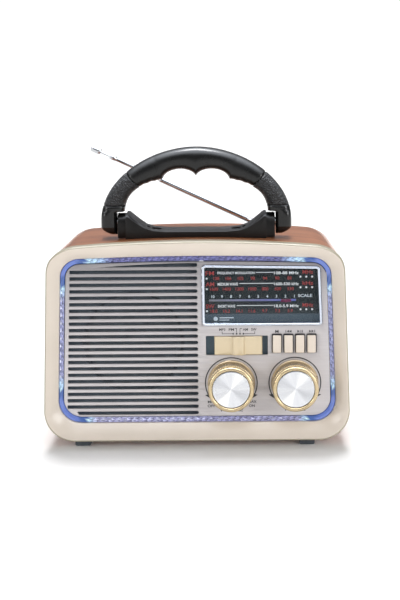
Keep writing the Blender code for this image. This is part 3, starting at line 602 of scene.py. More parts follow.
def along(points):
    """Distances round a closed outline, and its whole length."""
    total = 0.0
    marks = [0.0]
    for a, b in zip(points, points[1:] + points[:1]):
        total += math.dist(a, b)
        marks.append(total)
    return marks, total


def ring_light(x, z):
    """Colour of the light at a place on the ring, and how much it is cut into facets there."""
    pale = Vector((0.12, 0.185, 0.52))
    deep = Vector((0.05, 0.11, 0.34))
    hot = Vector((0.5, 0.74, 1.0))
    if z > 80.0 and abs(z - 152.0) < 4.5 and abs(x) < 95.0:
        far, start, long_deep, long_hot = 93.0 - abs(x), 0.3, 7.2, 19.0
        body = Vector((0.15, 0.155, 0.36))
    elif z <= 80.0 and abs(z - 22.0) < 4.5 and abs(x) < 95.0:
        far, start, long_deep, long_hot = 93.0 - abs(x), -2.0, 8.5, 5.0
        body = Vector((0.3, 0.3, 0.5))
    else:
        far, start, long_deep, long_hot = (138.0 - z if z > 84.0 else z - 40.0), 0.0, 8.0, 9.0
        body = Vector((0.32, 0.34, 0.55))
    if far < start:
        return pale, 0.0
    if far < start + long_deep:
        return deep, 0.15
    fade = (far - start - long_deep) / long_hot
    if fade < 1.0:
        return hot.lerp(body, fade ** 1.6), 0.5 + 0.5 * fade
    return body, 1.0


def make_ring():
    """Lens ring: a soft profile with prisms along its middle where the light is strongest; the facets of the
    prisms carry painted light and shade and painted glints.
    """
    edge = GAP / RING_WIDTH_SIDE
    shares = (edge, 0.2, 0.5, 0.8, 1.0 - edge)
    depths = (8.2, 7.45, 7.5, 7.95, 8.8)
    pitch, slant, relief = 6.2, 0.12, 0.42
    fine = {"flat": 36, "bend": 10, "upright": 24}
    outer = ring_outline(shares[0], **fine)
    marks, total = along(outer)
    count = int(round(total / pitch)) * 2
    lanes = [ring_outline(s, **fine) for s in shares]

    def spot(lane, distance):
        distance = distance % total
        index = 0
        while marks[index + 1] < distance:
            index += 1
        t = (distance - marks[index]) / max(1e-6, marks[index + 1] - marks[index])
        return between(lanes[lane][index], lanes[lane][(index + 1) % len(outer)], t)

    bm = bmesh.new()
    rows = []
    colours = {}
    for k in range(count):
        distance = total * k / count
        row = []
        for lane in range(5):
            slide = (lane - 2) * pitch * slant
            x, z = spot(lane, distance + slide)
            colour, cut = ring_light(x, z)
            y = depths[lane]
            if 0 < lane < 4:
                up = 1.0 if (k + (lane == 2)) % 2 else -1.0
                y -= relief * cut * up
                # Painted facet light and shade: raised facets take a lighter copy of the light, sunk ones a
                # darker copy.
                painted_facet_light = 1.0 + 0.8 * cut * up * (1.0 if lane == 2 else 0.6)
            else:
                # Painted shade: the edge lanes are darker where the ring is cut into facets.
                painted_facet_light = 1.0 - 0.25 * cut
            vert = bm.verts.new(place(x, y, z))
            colours[vert] = (colour * painted_facet_light, cut)
            row.append(vert)
        for lane in (4, 0):
            x, z = spot(lane, distance)
            vert = bm.verts.new(place(x, RING_BACK, z))
            colours[vert] = (colours[row[0]][0] * 0.6, 0.0)
            row.append(vert)
        rows.append(row)
    layer = bm.loops.layers.float_color.new("glow")
    for k in range(count):
        here = rows[k]
        there = rows[(k + 1) % count]
        for lane in range(7):
            other = (lane + 1) % 7
            quad = (here[lane], here[other], there[other], there[lane])
            cut = min(colours[v][1] for v in quad)
            if lane < 4 and cut > 0.3:
                triples = ((0, 1, 2), (0, 2, 3)) if (k + lane) % 2 else ((0, 1, 3), (1, 2, 3))
            else:
                triples = ((0, 1, 2, 3),)
            for corners in triples:
                face = bm.faces.new([quad[c] for c in corners])
                mean = sum((colours[vert][0] for vert in face.verts), Vector((0, 0, 0))) / len(corners)
                # Painted glints: each triangle's light is made brighter or dimmer by a fixed turn.
                painted_glint = 1.0
                if len(corners) == 3:
                    turn = (k * 5 + lane * 3 + corners[1] * 2) % 7
                    painted_glint = 0.5 + 0.18 * turn
                for loop_ in face.loops:
                    c = (mean if len(corners) == 3 else colours[loop_.vert][0]) * painted_glint
                    loop_[layer] = (min(1.0, c.x), min(1.0, c.y), min(1.0, c.z), 1.0)
    bmesh.ops.recalc_face_normals(bm, faces=bm.faces)
    item = mesh_object("light_ring_fine", bm, GLOW)
    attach(item, "case")
    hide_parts("light_ring")


# ---------------------------------------------------------------- front plate, dial and print

SLOT_COUNT, SLOT_PITCH, SLOT_HEIGHT, SLOT_TOP_Z = 24, 5.17, 2.8, 146.4
SLOT_RIGHT, SLOT_LEFT_TOP, SLOT_LEFT_LEAN = 1.2, 99.2, 0.0375
SWITCH_WELL = (7.4, 56.3, 74.1, 89.6)
BUTTON_X = (63.5, 72.6, 81.7, 90.8)
BUTTON_SIZE = (6.7, 14.2)
BUTTON_Z = 83.3
KNOB_X = {"volume": 27.2, "tuning": 77.6}
KNOB_Z, KNOB_RADIUS, KNOB_FRONT = 51.4, 18.0, -13.5
PANEL_DEPTHS, COVER_DEPTHS = (8.6, 10.6), (103.0, 106.8)
DIAL_PRINT_Y, PANEL_PRINT_Y = 13.24, 8.56


def slot_outline(index):
    """One loudspeaker slot: round right end, left end following the leaning side of the case."""
    z = SLOT_TOP_Z - SLOT_PITCH * index
    half = SLOT_HEIGHT / 2
    left = -(SLOT_LEFT_TOP + (141.0 - z) * SLOT_LEFT_LEAN)
    if index == 0:
        points = [(-75.0, z - half)]
        for k in range(10):
            turn = math.pi * (k + 0.5) / 10
            rise = 3.1 * (1 - math.cos(turn)) / 2
            points.append((SLOT_RIGHT - half + half * math.sin(turn), z - half + rise))
        for k in range(19):
            x = -0.5 - 4.1 * k
            points.append((x, z - half + 3.05 * (1 - (x / 75.0) ** 2)))
        return points
    if index == SLOT_COUNT - 1:
        left = left + 8.0
    points = bow(SLOT_RIGHT - half, z, half, -math.pi / 2, math.pi / 2, 10)
    low_left = left + (1.5 if index == SLOT_COUNT - 1 else 0.5)
    points += [(left + 0.5, z + half), (left + 0.1, z + half - 0.3), (left, z + half - 0.6)]
    points += [(low_left - 0.4, z - half + 0.5), (low_left - 0.25, z - half + 0.15)]
    return points + [(low_left, z - half)]


def dial_outline(extra):
    """The dial's outline moved inwards; it widens downwards, and its top falls a little to the right."""
    x0, right = 4.8 + extra, 97.6 - extra
    z0, z1 = 97.9 + extra, 146.5 - extra
    corners = rounded_rectangle(x0, right, z0, z1, max(0.8, 3.0 - extra))
    base = []
    for a, b in zip(corners, corners[1:] + corners[:1]):
        steps = 8 if math.dist(a, b) > 10 else 1
        base += [between(a, b, k / steps) for k in range(steps)]
    points = []
    for x, z in base:
        share = (z1 - z) / (z1 - z0)
        slide = 1.8 * share * (x - x0) / (right - x0)
        fall = 1.6 * (1 - share) * (x - x0) / (right - x0)
        points.append((x + slide, z - fall))
    return points


def make_panel():
    """Front plate with the openings for sound, dial, switch, keys and knobs."""
    holes = [slot_outline(k) for k in range(SLOT_COUNT)]
    holes.append(dial_outline(-GAP))
    holes.append(rounded_rectangle(*SWITCH_WELL, 0.6, 4))
    wide, high = BUTTON_SIZE[0] / 2 + 0.6, BUTTON_SIZE[1] / 2 + 0.6
    for x in BUTTON_X:
        holes.append(rounded_rectangle(x - wide, x + wide, BUTTON_Z - high, BUTTON_Z + high, 0.8, 4))
    for x in KNOB_X.values():
        holes.append(circle(x, KNOB_Z, 3.8, 32))
    plate("panel_fine", ring_outline(1.0 + GAP / RING_WIDTH_SIDE), holes, *PANEL_DEPTHS, CHAMPAGNE, "case",
          ("front_panel",), 0.25)


def make_dial():
    steps = ((0.0, 13.0), (0.0, 7.5), (0.15, 7.1), (0.45, 6.85), (0.9, 6.8), (1.4, 6.85), (1.75, 7.05),
             (2.0, 7.5), (2.0, 13.0))
    loops = [at_depth(dial_outline(extra), y) for extra, y in steps]
    stand_in("dial_frame", loft(loops, True), BRIGHT, 40.0)
    paint("dial_window", WINDOW)
    paint("dial_scale", BOARD)
    paint("pointer_rail", BAR)
    refine("tuning_pointer", RED, 0.0001)


def lettering(words, x, z, height, align="CENTER", width=None, weight=0.022):
    """Faces of flat letters: the words, their place and height, a width to fill if given, and boldness."""
    curve = bpy.data.curves.new("words", "FONT")
    curve.body = words
    curve.size = 1.0
    curve.offset = weight
    mesh = curve_mesh("words", curve)
    xs = [v.co.x for v in mesh.vertices]
    ys = [v.co.y for v in mesh.vertices]
    low_x, high_x, low_y, high_y = min(xs), max(xs), min(ys), max(ys)
    tall = height / (high_y - low_y)
    wide = tall if width is None else width / (high_x - low_x)
    length = (high_x - low_x) * wide
    start = {"LEFT": x, "CENTER": x - length / 2, "RIGHT": x - length}[align]
    faces = []
    for polygon in mesh.polygons:
        corners = [mesh.vertices[i].co for i in polygon.vertices]
        faces.append([(start + (co.x - low_x) * wide, z - height / 2 + (co.y - low_y) * tall)
                      for co in corners])
    bpy.data.meshes.remove(mesh)
    return faces


def strip(x0, x1, z, thick):
    return [[(x0, z - thick / 2), (x1, z - thick / 2), (x1, z + thick / 2), (x0, z + thick / 2)]]


def upright(x, z0, z1, thick):
    return [[(x - thick / 2, z0), (x + thick / 2, z0), (x + thick / 2, z1), (x - thick / 2, z1)]]


def dot(x, z, radius):
    return [circle(x, z, radius, 20)]


def arc(x, z, radius, thick, a0, a1, steps=60):
    faces = []
    for k in range(steps):
        quad = []
        for r, t in ((radius - thick / 2, k), (radius + thick / 2, k), (radius + thick / 2, k + 1),
                     (radius - thick / 2, k + 1)):
            angle = math.radians(a0 + (a1 - a0) * t / steps)
            quad.append((x + r * math.sin(angle), z + r * math.cos(angle)))
        faces.append(quad)
    return faces


def print_on(name, faces, y, mat):
    """Thin ink just proud of a surface at one depth, facing the front."""
    bm = bmesh.new()
    for face in faces:
        bm.faces.new([bm.verts.new(place(x, y, z)) for x, z in face])
    for face in bm.faces:
        face.normal_update()
        if face.normal.y > 0:
            face.normal_flip()
    item = mesh_object(name, bm, mat)
    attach(item, "case")


def make_dial_print():
    """Generic wave-band scale: band names, number rows, dots and a ten-step logging scale."""
    white, red, ice = [], [], []
    rows = ((139.0, 134.8, "FM", "FREQUENCY MODULATION", (16.9, 46.2), "108-88 MHz", "MHz",
             ("108", "106", "102", "98", "94", "90", "88"), (16.0, 73.7)),
            (130.2, 126.3, "AM", "MEDIUM WAVE", (17.0, 33.0), "1600-530 kHz", "kHz",
             ("1600", "1400", "1200", "1000", "800", "600", "530"), (14.2, 74.6)),
            (112.5, 108.6, "SW", "SHORT WAVE", (17.0, 30.8), "18.0-5.9 MHz", "MHz",
             ("18.0", "16.2", "14.1", "11.6", "9.7", "7.3", "5.9"), (13.9, 74.2)))
    for z, low, band, words, (left, right), span, unit, numbers, (first, last) in rows:
        red += lettering(band, 7.6, z, 3.3, "LEFT", 6.7, weight=0.008)
        white += lettering(words, left, z, 2.3, "LEFT", right - left)
        white += strip(right + 1.2, 61.2, z + 0.5, 0.5)
        white += lettering(span, 61.6, z, 2.3, "LEFT", 19.4)
        red += lettering(unit, 84.0, z + 0.6, 3.0, "LEFT", 8.4, weight=0.008)
        white += dot(8.4, low, 0.75)
        for k, number in enumerate(numbers):
            red += lettering(number, first + (last - first) * k / 6, low, 2.5, weight=0.006)
        for k in range(3):
            white += dot(82.4 + 4.6 * k, low + 1.0, 0.8)
    for k in range(10):
        ice += lettering(str(10 - k), 13.2 + 7.16 * k, 120.3, 2.3)
    ice += lettering("SCALE", 80.4, 120.7, 2.4, "LEFT", 11.2)
    print_on("dial_print_white", white, DIAL_PRINT_Y, INK_WHITE)
    print_on("dial_print_red", red, DIAL_PRINT_Y, INK_RED)
    print_on("dial_print_ice", ice, DIAL_PRINT_Y, INK_ICE)
    badge = [circle(15.2, 102.4, 1.7, 28)] + strip(18.2, 29.5, 103.2, 0.8) + strip(18.2, 26.0, 101.4, 0.6)
    print_on("dial_badge", badge, DIAL_PRINT_Y, INK_ICE)


def triangle(x, z, size, way):
    back = x - way * size / 2
    return [[(back, z - size * 0.55), (back, z + size * 0.55), (x + way * size / 2, z)]]


def make_panel_print():
    """Plain words and signs above the switch and keys, and an arc with arrowheads round each knob."""
    ink = []
    for word, x, wide in (("MP3", 20.4, 4.9), ("FM", 27.6, 4.2), ("AM", 38.6, 4.0), ("SW", 45.4, 4.3)):
        ink += lettering(word, x, 94.7, 2.1, "CENTER", wide)
    for x in (29.0, 31.7, 34.4, 37.1):
        ink += dot(x, 91.3, 0.7)
    for x, low, high, left, right, level in (
            (20.3, 91.2, 93.1, 20.2, 28.2, 91.3), (46.0, 91.2, 93.1, 38.0, 46.1, 91.3),
            (31.7, 92.2, 95.6, 30.2, 31.8, 95.5), (34.4, 92.2, 95.6, 34.3, 36.1, 95.5)):
        ink += upright(x, low, high, 0.45) + strip(left, right, level, 0.45)
    z = 93.0

    def bar(x):
        return upright(x, z - 1.0, z + 1.0, 0.5)

    def wedge(x, way):
        return triangle(x, z, 1.9, way)
    ink += lettering("M", 63.5, z, 2.2, "CENTER", 2.7)
    ink += bar(70.6) + wedge(72.2, -1) + wedge(74.1, -1) + wedge(80.6, 1) + bar(82.5) + bar(83.7)
    ink += wedge(89.9, 1) + wedge(91.8, 1) + bar(93.4)
    for x in KNOB_X.values():
        ink += arc(x, KNOB_Z, 20.5, 0.95, -119.0, 119.0)
        for way in (-1, 1):
            head = []
            for radius, turn in ((23.0, 115.0), (20.5, 130.0), (19.7, 116.5)):
                angle = math.radians(turn)
                head.append((x + way * radius * math.sin(angle), KNOB_Z + radius * math.cos(angle)))
            ink.append(head)
    for word, x, z, high, wide in (("MIN", 11.3, 36.2, 2.1, 5.8), ("OFF", 11.3, 32.9, 2.2, 6.2),
                                   ("MAX", 44.0, 36.2, 2.1, 6.2), ("ON", 43.4, 32.9, 2.2, 4.6),
                                   ("VOLUME", 27.0, 29.6, 2.8, 18.6), ("TUNING", 77.4, 29.8, 2.7, 17.2)):
        ink += lettering(word, x, z, high, "CENTER", wide)
    print_on("panel_print", ink, PANEL_PRINT_Y, INK_DARK)


# ---------------------------------------------------------------- controls

def make_slider():
    """Band switch: two smooth wings rising to a soft ridge with a finger groove along its crest."""
    x0, x1, z0, z1 = 14.0, 52.0, 74.5, 89.2
    edge, ridge_half, ridge_rise, groove_half, groove_depth = 0.7, 4.6, 2.55, 2.6, 0.9
    middle = (x0 + x1) / 2
    loops = []
    count = 72
    for k in range(count + 1):
        x = x0 + (x1 - x0) * k / count
        away = abs(x - middle)
        end = min(1.0, (0.5 * (x1 - x0) - away) / 0.6)
        y = 7.5 - 0.5 * max(0.0, 1 - away / 16.0)
        hump = 1.0 / (1.0 + (away / ridge_half) ** 14)
        y = y - ridge_rise * hump + groove_depth * math.exp(-(away / groove_half) ** 2) + 0.9 * (1 - end)
        loop = [(x, 11.6, z0), (x, 11.6, z1)]
        for angle in quarter(4):
            loop.append((x, y + edge - edge * math.sin(angle), z1 - edge + edge * math.cos(angle)))
        for angle in reversed(quarter(4)):
            loop.append((x, y + edge - edge * math.sin(angle), z0 + edge - edge * math.cos(angle)))
        loops.append(loop)
    stand_in("band_slider", loft(loops), GOLD_CREAM, 40.0)
    refine("switch_well", BOARD, 0.0002)


def make_buttons():
    """Four cream push buttons with rounded fronts; their sides behind the front get the dark material, as
    painted shadow in the gap round each key.
    """
    half_x, half_z = BUTTON_SIZE[0] / 2, BUTTON_SIZE[1] / 2
    edge = 0.75
    for name, x in zip(("mode", "previous", "play", "next"), BUTTON_X):
        loops = []
        steps = [(5.22, -1.3)]
        for angle in quarter(5):
            steps.append((5.3 + edge * (1 - math.cos(angle)), -edge + edge * math.sin(angle)))
        steps += [(10.9, 0.0), (10.9, 0.8), (12.2, 0.8)]
        for y, out in steps:
            ring = rounded_rectangle(x - half_x - out, x + half_x + out, BUTTON_Z - half_z - out,
                                     BUTTON_Z + half_z + out, max(0.3, 0.8 + min(0.0, out) * 0.5), 5)
            loops.append(at_depth(ring, y))
        node = "button_" + name
        bm = loft(loops)
        # Painted shadow: faces behind the front take the dark material, for the shaded gap round the key.
        for face in bm.faces:
            if face.calc_center_median().y > place(0, 7.0, 0).y:
                face.material_index = 1
        stand_in(node, bm, CREAM_KEY, 40.0).data.materials.append(DARK)


def make_knob(prefix):
    """Knob with a polished front rim, a fluted band behind it, a smooth barrel, a spun disc and a collar."""
    centre = (KNOB_X[prefix], 0, KNOB_Z)
    rim = [(15.0, 4.0), (15.0, 0.9), (15.1, 0.5), (15.4, 0.2), (15.9, 0.0), (16.5, 0.0), (17.1, 0.2),
           (17.6, 0.6), (17.9, 1.1), (KNOB_RADIUS, 1.7)]
    band = [(KNOB_RADIUS, 2.3), (KNOB_RADIUS, 2.6), (KNOB_RADIUS, 6.6), (KNOB_RADIUS, 6.9)]
    barrel = KNOB_RADIUS - 0.35
    fluted = (len(rim) + 1, len(rim) + 2)

    def behind_front(pairs):
        return [(radius, KNOB_FRONT + depth) for radius, depth in pairs]

    def flute(index, radius, k):
        return radius - 0.6 if index in fluted and k % 4 >= 2 else radius

    def turned(part, profile, segments, mat, **more):
        stand_in(prefix + part, lathe(profile, centre, (0, 1, 0), segments, **more), mat, 30.0)
    profile = behind_front(rim + band + [(barrel, 7.2)])
    profile += [(barrel, -0.5), (barrel, 3.4), (KNOB_RADIUS - 0.9, 4.4), (3.4, 4.4)]
    profile += behind_front([(3.4, 4.0)])
    turned("_knob", profile, 288, GOLD, radius_at=flute, closed=True)
    cap = behind_front([(0.6, 1.62), (3.0, 1.5), (8.0, 1.2), (13.6, 0.95), (14.2, 0.95), (14.5, 1.1),
                        (14.68, 1.5), (14.68, 3.7), (0.6, 3.7)])
    # The disc's colour holds painted highlight wedges as well as its turned rings.
    turned("_disc", cap, 160, spun(prefix + "_spun_metal_painted_highlights", (0.88, 0.88, 0.88), place(*centre)))
    collar = [(18.8, 7.3), (18.6, 6.9), (18.2, 6.6), (4.4, 6.6), (4.4, 8.3), (18.8, 8.3)]
    turned("_ring", collar, 128, COLLAR, closed=True)
    paint(prefix + "_shaft", STEEL)


# ---------------------------------------------------------------- handle

HANDLE_Y, PIVOT_Z, ARCH_Z = 41.0, 176.5, 178.5
ARCH_OUT, ARCH_IN = (76.4, 58.5, 1.9), (57.5, 33.7, 2.87)
GRIP_END_OUT, GRIP_END_IN, SLEEVE_END_Z, EAR_OUT = 55.8, 44.8, 190.6, 62.9
GRIP_HALF_DEPTH, ARM_HALF_DEPTH, ARM_END_RADIUS = 11.0, 9.3, 10.0
ARM_TUCK_Z, ARM_TUCK_HIGH, ARM_TUCK_IN = 174.0, 7.1, 8.2


def arch_z(shape, x):
    """Height of one of the handle's two arches."""
    wide, high, power = shape
    return ARCH_Z + high * max(0.0, 1 - (abs(x) / wide) ** power) ** (1 / power)


def inner_arch(x):
    """Underside of the arch: scallops at its ends, and two finger grooves that meet in a cusp."""
    plain = arch_z(ARCH_IN, x)
    if abs(x) > 26.5:
        return plain + 0.45 * abs(math.sin(math.pi * (abs(x) - 26.5) / 6.1))
    groove = 7.2 * math.sqrt(max(0.0, 1 - ((abs(x) - 13.2) / 13.3) ** 2))
    cusp = 1.6 * max(0.0, 1 - abs(x) / 3.0)
    return min(plain, 212.3) + max(groove, cusp)


def arch_x(shape, z):
    """Half width of an arch at a height."""
    wide, high, power = shape
    share = min(1.0, max(0.0, (z - ARCH_Z) / high))
    return wide * (1 - share ** power) ** (1 / power)


def section(outer, inner, half_depth, points=48, power=2.6, shrink=0.0):
    """Soft-cornered section of the handle; shrink pulls it in all round, for the grooves at the joins."""
    loop = []
    mid_x, mid_z = (outer[0] + inner[0]) / 2, (outer[1] + inner[1]) / 2
    half_x, half_z = (outer[0] - inner[0]) / 2, (outer[1] - inner[1]) / 2
    keep = 1 - shrink / math.hypot(half_x, half_z)
    for k in range(points):
        angle = 2 * math.pi * k / points
        c = math.cos(angle)
        s = math.sin(angle)
        a = math.copysign(abs(c) ** (2 / power), c) * keep
        b = math.copysign(abs(s) ** (2 / power), s)
        loop.append((mid_x + a * half_x, HANDLE_Y + b * (half_depth - shrink), mid_z + a * half_z))
    return loop


def make_handle():
    """Grip, textured sleeves and arms are lofted along the two arches; the saddle stays plain."""
    loops = []
    count = 180
    for k in range(count + 1):
        t = -1 + 2 * k / count
        x_out = GRIP_END_OUT * t
        x_in = GRIP_END_IN * t
        near = (1 - abs(t)) * 50.0
        shrink = 0.6 * max(0.0, 1 - near / 0.8) ** 2
        loops.append(section((x_out, arch_z(ARCH_OUT, x_out)), (x_in, inner_arch(x_in)), GRIP_HALF_DEPTH,
                             shrink=shrink))
    stand_in("handle_grip", loft(loops), BLACK_GRIP, 50.0)
    for side, name in ((-1, "left"), (1, "right")):
        start_out = arch_z(ARCH_OUT, GRIP_END_OUT)
        start_in = inner_arch(GRIP_END_IN)
        loops = []
        for k in range(49):
            t = k / 48
            z_out = start_out + (SLEEVE_END_Z - start_out) * t
            z_in = start_in + (SLEEVE_END_Z - start_in) * t
            shift = 0.35 * (1 - t)
            near = min(t, 1 - t) * 30.0
            shrink = 0.55 * max(0.0, 1 - near / 0.9) ** 2
            outer = (side * (arch_x(ARCH_OUT, z_out) + shift), z_out - shift)
            inner = (side * (arch_x(ARCH_IN, z_in) + shift), z_in - shift)
            loops.append(section(outer, inner, GRIP_HALF_DEPTH - 1.2 * t, shrink=shrink))
        stand_in("handle_sleeve_" + name, loft(loops), SLEEVE, 50.0)
        top = SLEEVE_END_Z - 0.35
        levels = [(top, 0, 0.5), (top - 0.4, 0, 0.15), (top - 0.9, 0, 0.0), (188.0, 0, 0.0), (185.7, 0, 0.0),
                  (185.3, 1, 0.0), (182.0, 1, 0.0), (180.0, 1, 0.0)]
        for angle in quarter(24):
            levels.append((ARCH_Z - 11.5 * math.sin(angle), 1, 0.0))
        loops = []
        for z, low, shrink in levels:
            x_out = arch_x(ARCH_OUT, z)
            if z < ARM_TUCK_Z:
                x_out = x_out - ARM_TUCK_IN * ((ARM_TUCK_Z - z) / ARM_TUCK_HIGH) ** 2.2
            x_in = EAR_OUT + GAP + 0.3 if low else arch_x(ARCH_IN, z)
            depth = ARM_HALF_DEPTH
            if z < PIVOT_Z:
                depth = min(depth, math.sqrt(max(1.0, ARM_END_RADIUS ** 2 - (PIVOT_Z - z) ** 2)))
            loops.append(section((side * x_out, z), (side * x_in, z), depth, 48, 3.4, shrink))
        stand_in("handle_arm_" + name, loft(loops), BLACK_ARM, 45.0)
        paint("handle_pin_" + name, STEEL)
        paint("base_screw_" + name, STEEL)
    refine("handle_base", BLACK_BASE, 0.0005, 32.0, 3)


# ---------------------------------------------------------------- antenna, feet, back

SWIVEL = (88.0, 118.5, 145.3)
ANTENNA_LEAN = 25.2


def make_antenna():
    """Three tubes that slide in each other along a leaning line, the swivel, and its round bracket."""
    lean = math.radians(ANTENNA_LEAN)
    line = Vector((-math.cos(lean), 0, math.sin(lean)))
    sections = (
        [(1.0, -2.9), (1.8, -2.5), (2.45, -1.6), (2.45, 133.4), (2.35, 134.1), (2.1, 134.4), (2.0, 134.4),
         (2.0, 25.0)],
        [(1.0, 64.0), (1.75, 64.0), (1.75, 174.8), (1.95, 175.5), (2.2, 175.8), (2.2, 180.4), (2.05, 181.0),
         (1.8, 181.2), (1.2, 181.2)],
        [(0.4, 100.0), (0.9, 100.0), (0.9, 189.5), (2.0, 189.7), (2.55, 190.3), (2.7, 191.0), (2.7, 197.2),
         (2.5, 198.0), (2.1, 198.5), (1.2, 198.8)])
    for index, profile in enumerate(sections):
        tube = lathe(profile, SWIVEL, line, 40)
        stand_in("antenna_section_%d" % (index + 1), tube, CHROME, 40.0)
    bracket = [(9.0, 107.1), (9.0, 111.2), (8.7, 112.0), (8.1, 112.6), (7.4, 112.8)]
    stand_in("antenna_bracket", lathe(bracket, (SWIVEL[0], 0, SWIVEL[2]), (0, 1, 0), 72), DARK, 30.0)
    refine("antenna_knuckle", CHROME, 0.0002, 30.0)


def make_back():
    """Rear cover with vents and screws, the ribbed battery door, the socket and the feet."""
    level = SLEEVE_IN_LEVEL + SLEEVE_WALL + GAP
    outline = case_outline(SLEEVE_IN_SIDE + SLEEVE_TAPER + SLEEVE_WALL + GAP, level, level, 17.0, 18.0)
    holes = [rounded_rectangle(-70.0, 4.0, 18.0, 90.0, 2.0, 6)]
    for k in range(7):
        z = 104.0 + 5.5 * k
        holes.append(rounded_rectangle(-70.0, 4.0, z, z + 2.4, 1.1, 6))
    holes.append(rounded_rectangle(52.6, 67.4, 36.3, 43.7, 0.6, 4))
    plate("rear_cover_fine", outline, holes, *COVER_DEPTHS, DARK, "case", ("rear_cover",), 0.35)
    refine("battery_door", DARK, 0.0003)
    for k in range(5):
        z = 80.0 + 1.7 * k
        loops = []
        for y, shrink in ((106.6, 0.0), (107.0, 0.15), (107.25, 0.45)):
            rib = rounded_rectangle(-44.0 + shrink, -22.0 - shrink, z + shrink, z + 1.0 - shrink,
                                    0.4 - shrink * 0.5, 4)
            loops.append(at_depth(rib, y))
        store("door_rib_%d" % (k + 1), loft(loops), DARK, BODY_OF["battery_door"], "dark_plastic")
    head = [(3.4, 106.5), (3.4, 107.2), (3.1, 107.7), (2.4, 107.9), (1.2, 107.95), (0.9, 107.2), (0.2, 107.1)]
    for index, (x, z) in enumerate(((-92.0, 142.0), (60.0, 148.0), (-98.0, 26.0), (98.0, 26.0))):
        screw = lathe(head, (x, 0, z), (0, 1, 0), 40)
        store("cover_screw_%d" % (index + 1), screw, STEEL, "case", "zinc_steel")
    refine("usb_socket", STEEL, 0.0001)
    for row in ("front", "rear"):
        for side in ("left", "right"):
            refine("foot_%s_%s" % (row, side), RUBBER, 0.0004)


def make_inside():
    """Pieces behind the slots and vents keep their CAD shape."""
    for node, mat in (("speaker_baffle", SLATE), ("speaker_basket", SLATE), ("speaker_cone", PAPER),
                      ("speaker_magnet", STEEL), ("battery_tray", DARK), ("battery_cell_lower", CELL),
                      ("battery_cell_upper", CELL), ("main_board", CIRCUIT), ("key_board", CIRCUIT),
                      ("ferrite_rod", DARK), ("dial_drum", DARK), ("tuning_capacitor", CASE_GREY),
                      ("volume_control", STEEL)):
        paint(node, mat)


# ---------------------------------------------------------------- stage, light and camera

FLOOR_HALF = 4.0
WORLD_FILL, WORLD_SEEN = 0.3, 1.05
CEILING = ((0.0, (0.2, 0.2, 0.21)), (0.45, (0.3, 0.3, 0.32)), (0.6, (0.9, 0.93, 0.98)),
           (0.76, (3.2, 3.35, 3.6)), (0.88, (5.6, 5.9, 6.4)), (1.0, (6.0, 6.3, 6.9)))
CAMERA_AT = (37.2, -1066.0, 331.0)
CAMERA_PITCH, CAMERA_ROLL = 7.487, 0.42
LENS, LENS_SHIFT = 83.35, (-0.0711, -0.15)


def make_stage():
    bm = bmesh.new()
    square = ((-1, -1), (1, -1), (1, 1), (-1, 1))
    bm.faces.new([bm.verts.new((x * FLOOR_HALF, y * FLOOR_HALF, 0.0)) for x, y in square])
    look = Look("pale_floor", Roughness=0.9, Specular_IOR_Level=0.1)
    look.colour(look.drift(look.noise(3.0, 2.0), (0.93, 0.93, 0.93), (0.95, 0.95, 0.95)))
    look.emit((1.0, 1.0, 1.0, 1.0), 0.02)
    floor = mesh_object("floor", bm, look.mat)


def soft_sun(name, toward, spread, power):
    """Even studio light from one side; the spread softens its shadows."""
    light = bpy.data.lights.new(name, "SUN")
    light.angle = math.radians(spread)
    light.energy = power
    item = add_object(name, light)
    item.location = toward
    item.rotation_mode = "QUATERNION"
    item.rotation_quaternion = (-Vector(toward)).to_track_quat("-Z", "Y")


def shader_mix(tree, share, first, second):
    node = tree.nodes.new("ShaderNodeMixShader")
    tree.links.new(share, node.inputs["Fac"])
    tree.links.new(first.outputs[0], node.inputs[1])
    tree.links.new(second.outputs[0], node.inputs[2])
    return node


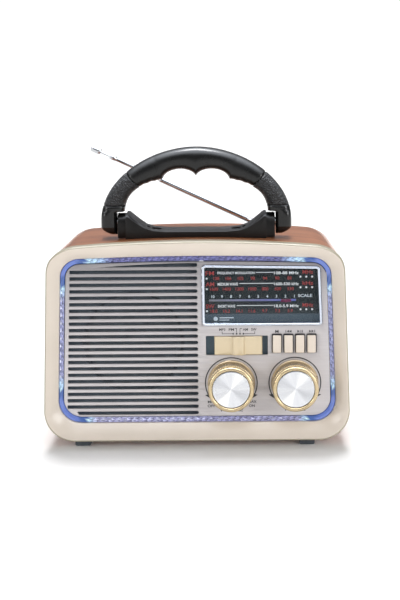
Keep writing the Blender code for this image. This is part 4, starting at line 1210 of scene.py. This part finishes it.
def make_light():
    """Even white studio: a bright ceiling for reflections, a dimmer all-round light, and three wide suns."""
    world = bpy.data.worlds.new("studio")
    bpy.context.scene.world = world
    world.use_nodes = True
    tree = world.node_tree
    fill = tree.nodes["Background"]
    seen = tree.nodes.new("ShaderNodeBackground")
    ceiling = tree.nodes.new("ShaderNodeBackground")
    for node, strength in ((fill, WORLD_FILL), (seen, WORLD_SEEN), (ceiling, 1.0)):
        node.inputs["Color"].default_value = (1.0, 1.0, 1.0, 1.0)
        node.inputs["Strength"].default_value = strength
    where = tree.nodes.new("ShaderNodeTexCoord")
    split = tree.nodes.new("ShaderNodeSeparateXYZ")
    ramp = tree.nodes.new("ShaderNodeValToRGB")
    fill_band(ramp.color_ramp, CEILING)
    tree.links.new(where.outputs["Generated"], split.inputs[0])
    tree.links.new(split.outputs["Z"], ramp.inputs["Fac"])
    tree.links.new(ramp.outputs["Color"], ceiling.inputs["Color"])
    path = tree.nodes.new("ShaderNodeLightPath")
    lit = shader_mix(tree, path.outputs["Is Glossy Ray"], fill, ceiling)
    both = shader_mix(tree, path.outputs["Is Camera Ray"], lit, seen)
    tree.links.new(both.outputs[0], tree.nodes["World Output"].inputs["Surface"])
    soft_sun("key", (1.0, -0.84, 0.36), 26.0, 1.5)
    soft_sun("fill", (-1.0, -0.84, 0.36), 24.0, 0.95)
    soft_sun("top", (0.0, 0.27, 1.0), 22.0, 2.85)


def make_camera():
    """A long lens in front of the radio, a little above it and to its right, shifted to frame it."""
    pitch = math.radians(CAMERA_PITCH)
    ahead = Vector((0, math.cos(pitch), -math.sin(pitch)))
    right = Vector((1, 0, 0))
    up = right.cross(ahead)
    turn = Matrix((right, up, -ahead)).transposed().to_quaternion()
    data = bpy.data.cameras.new("camera")
    data.sensor_width = 36.0
    data.lens = LENS
    data.shift_x, data.shift_y = LENS_SHIFT
    data.clip_start = 0.05
    data.clip_end = 50.0
    item = add_object("camera", data)
    item.location = place(*CAMERA_AT)
    item.rotation_mode = "QUATERNION"
    item.rotation_quaternion = Quaternion(ahead, math.radians(CAMERA_ROLL)) @ turn
    bpy.context.scene.camera = item


bpy.context.scene.view_settings.view_transform = "Standard"
bpy.context.scene.view_settings.look = "None"
make_case()
make_bezel()
make_ring()
make_panel()
make_dial()
make_dial_print()
make_panel_print()
make_slider()
make_buttons()
make_knob("volume")
make_knob("tuning")
make_handle()
make_antenna()
make_back()
make_inside()
make_stage()
make_light()
make_camera()
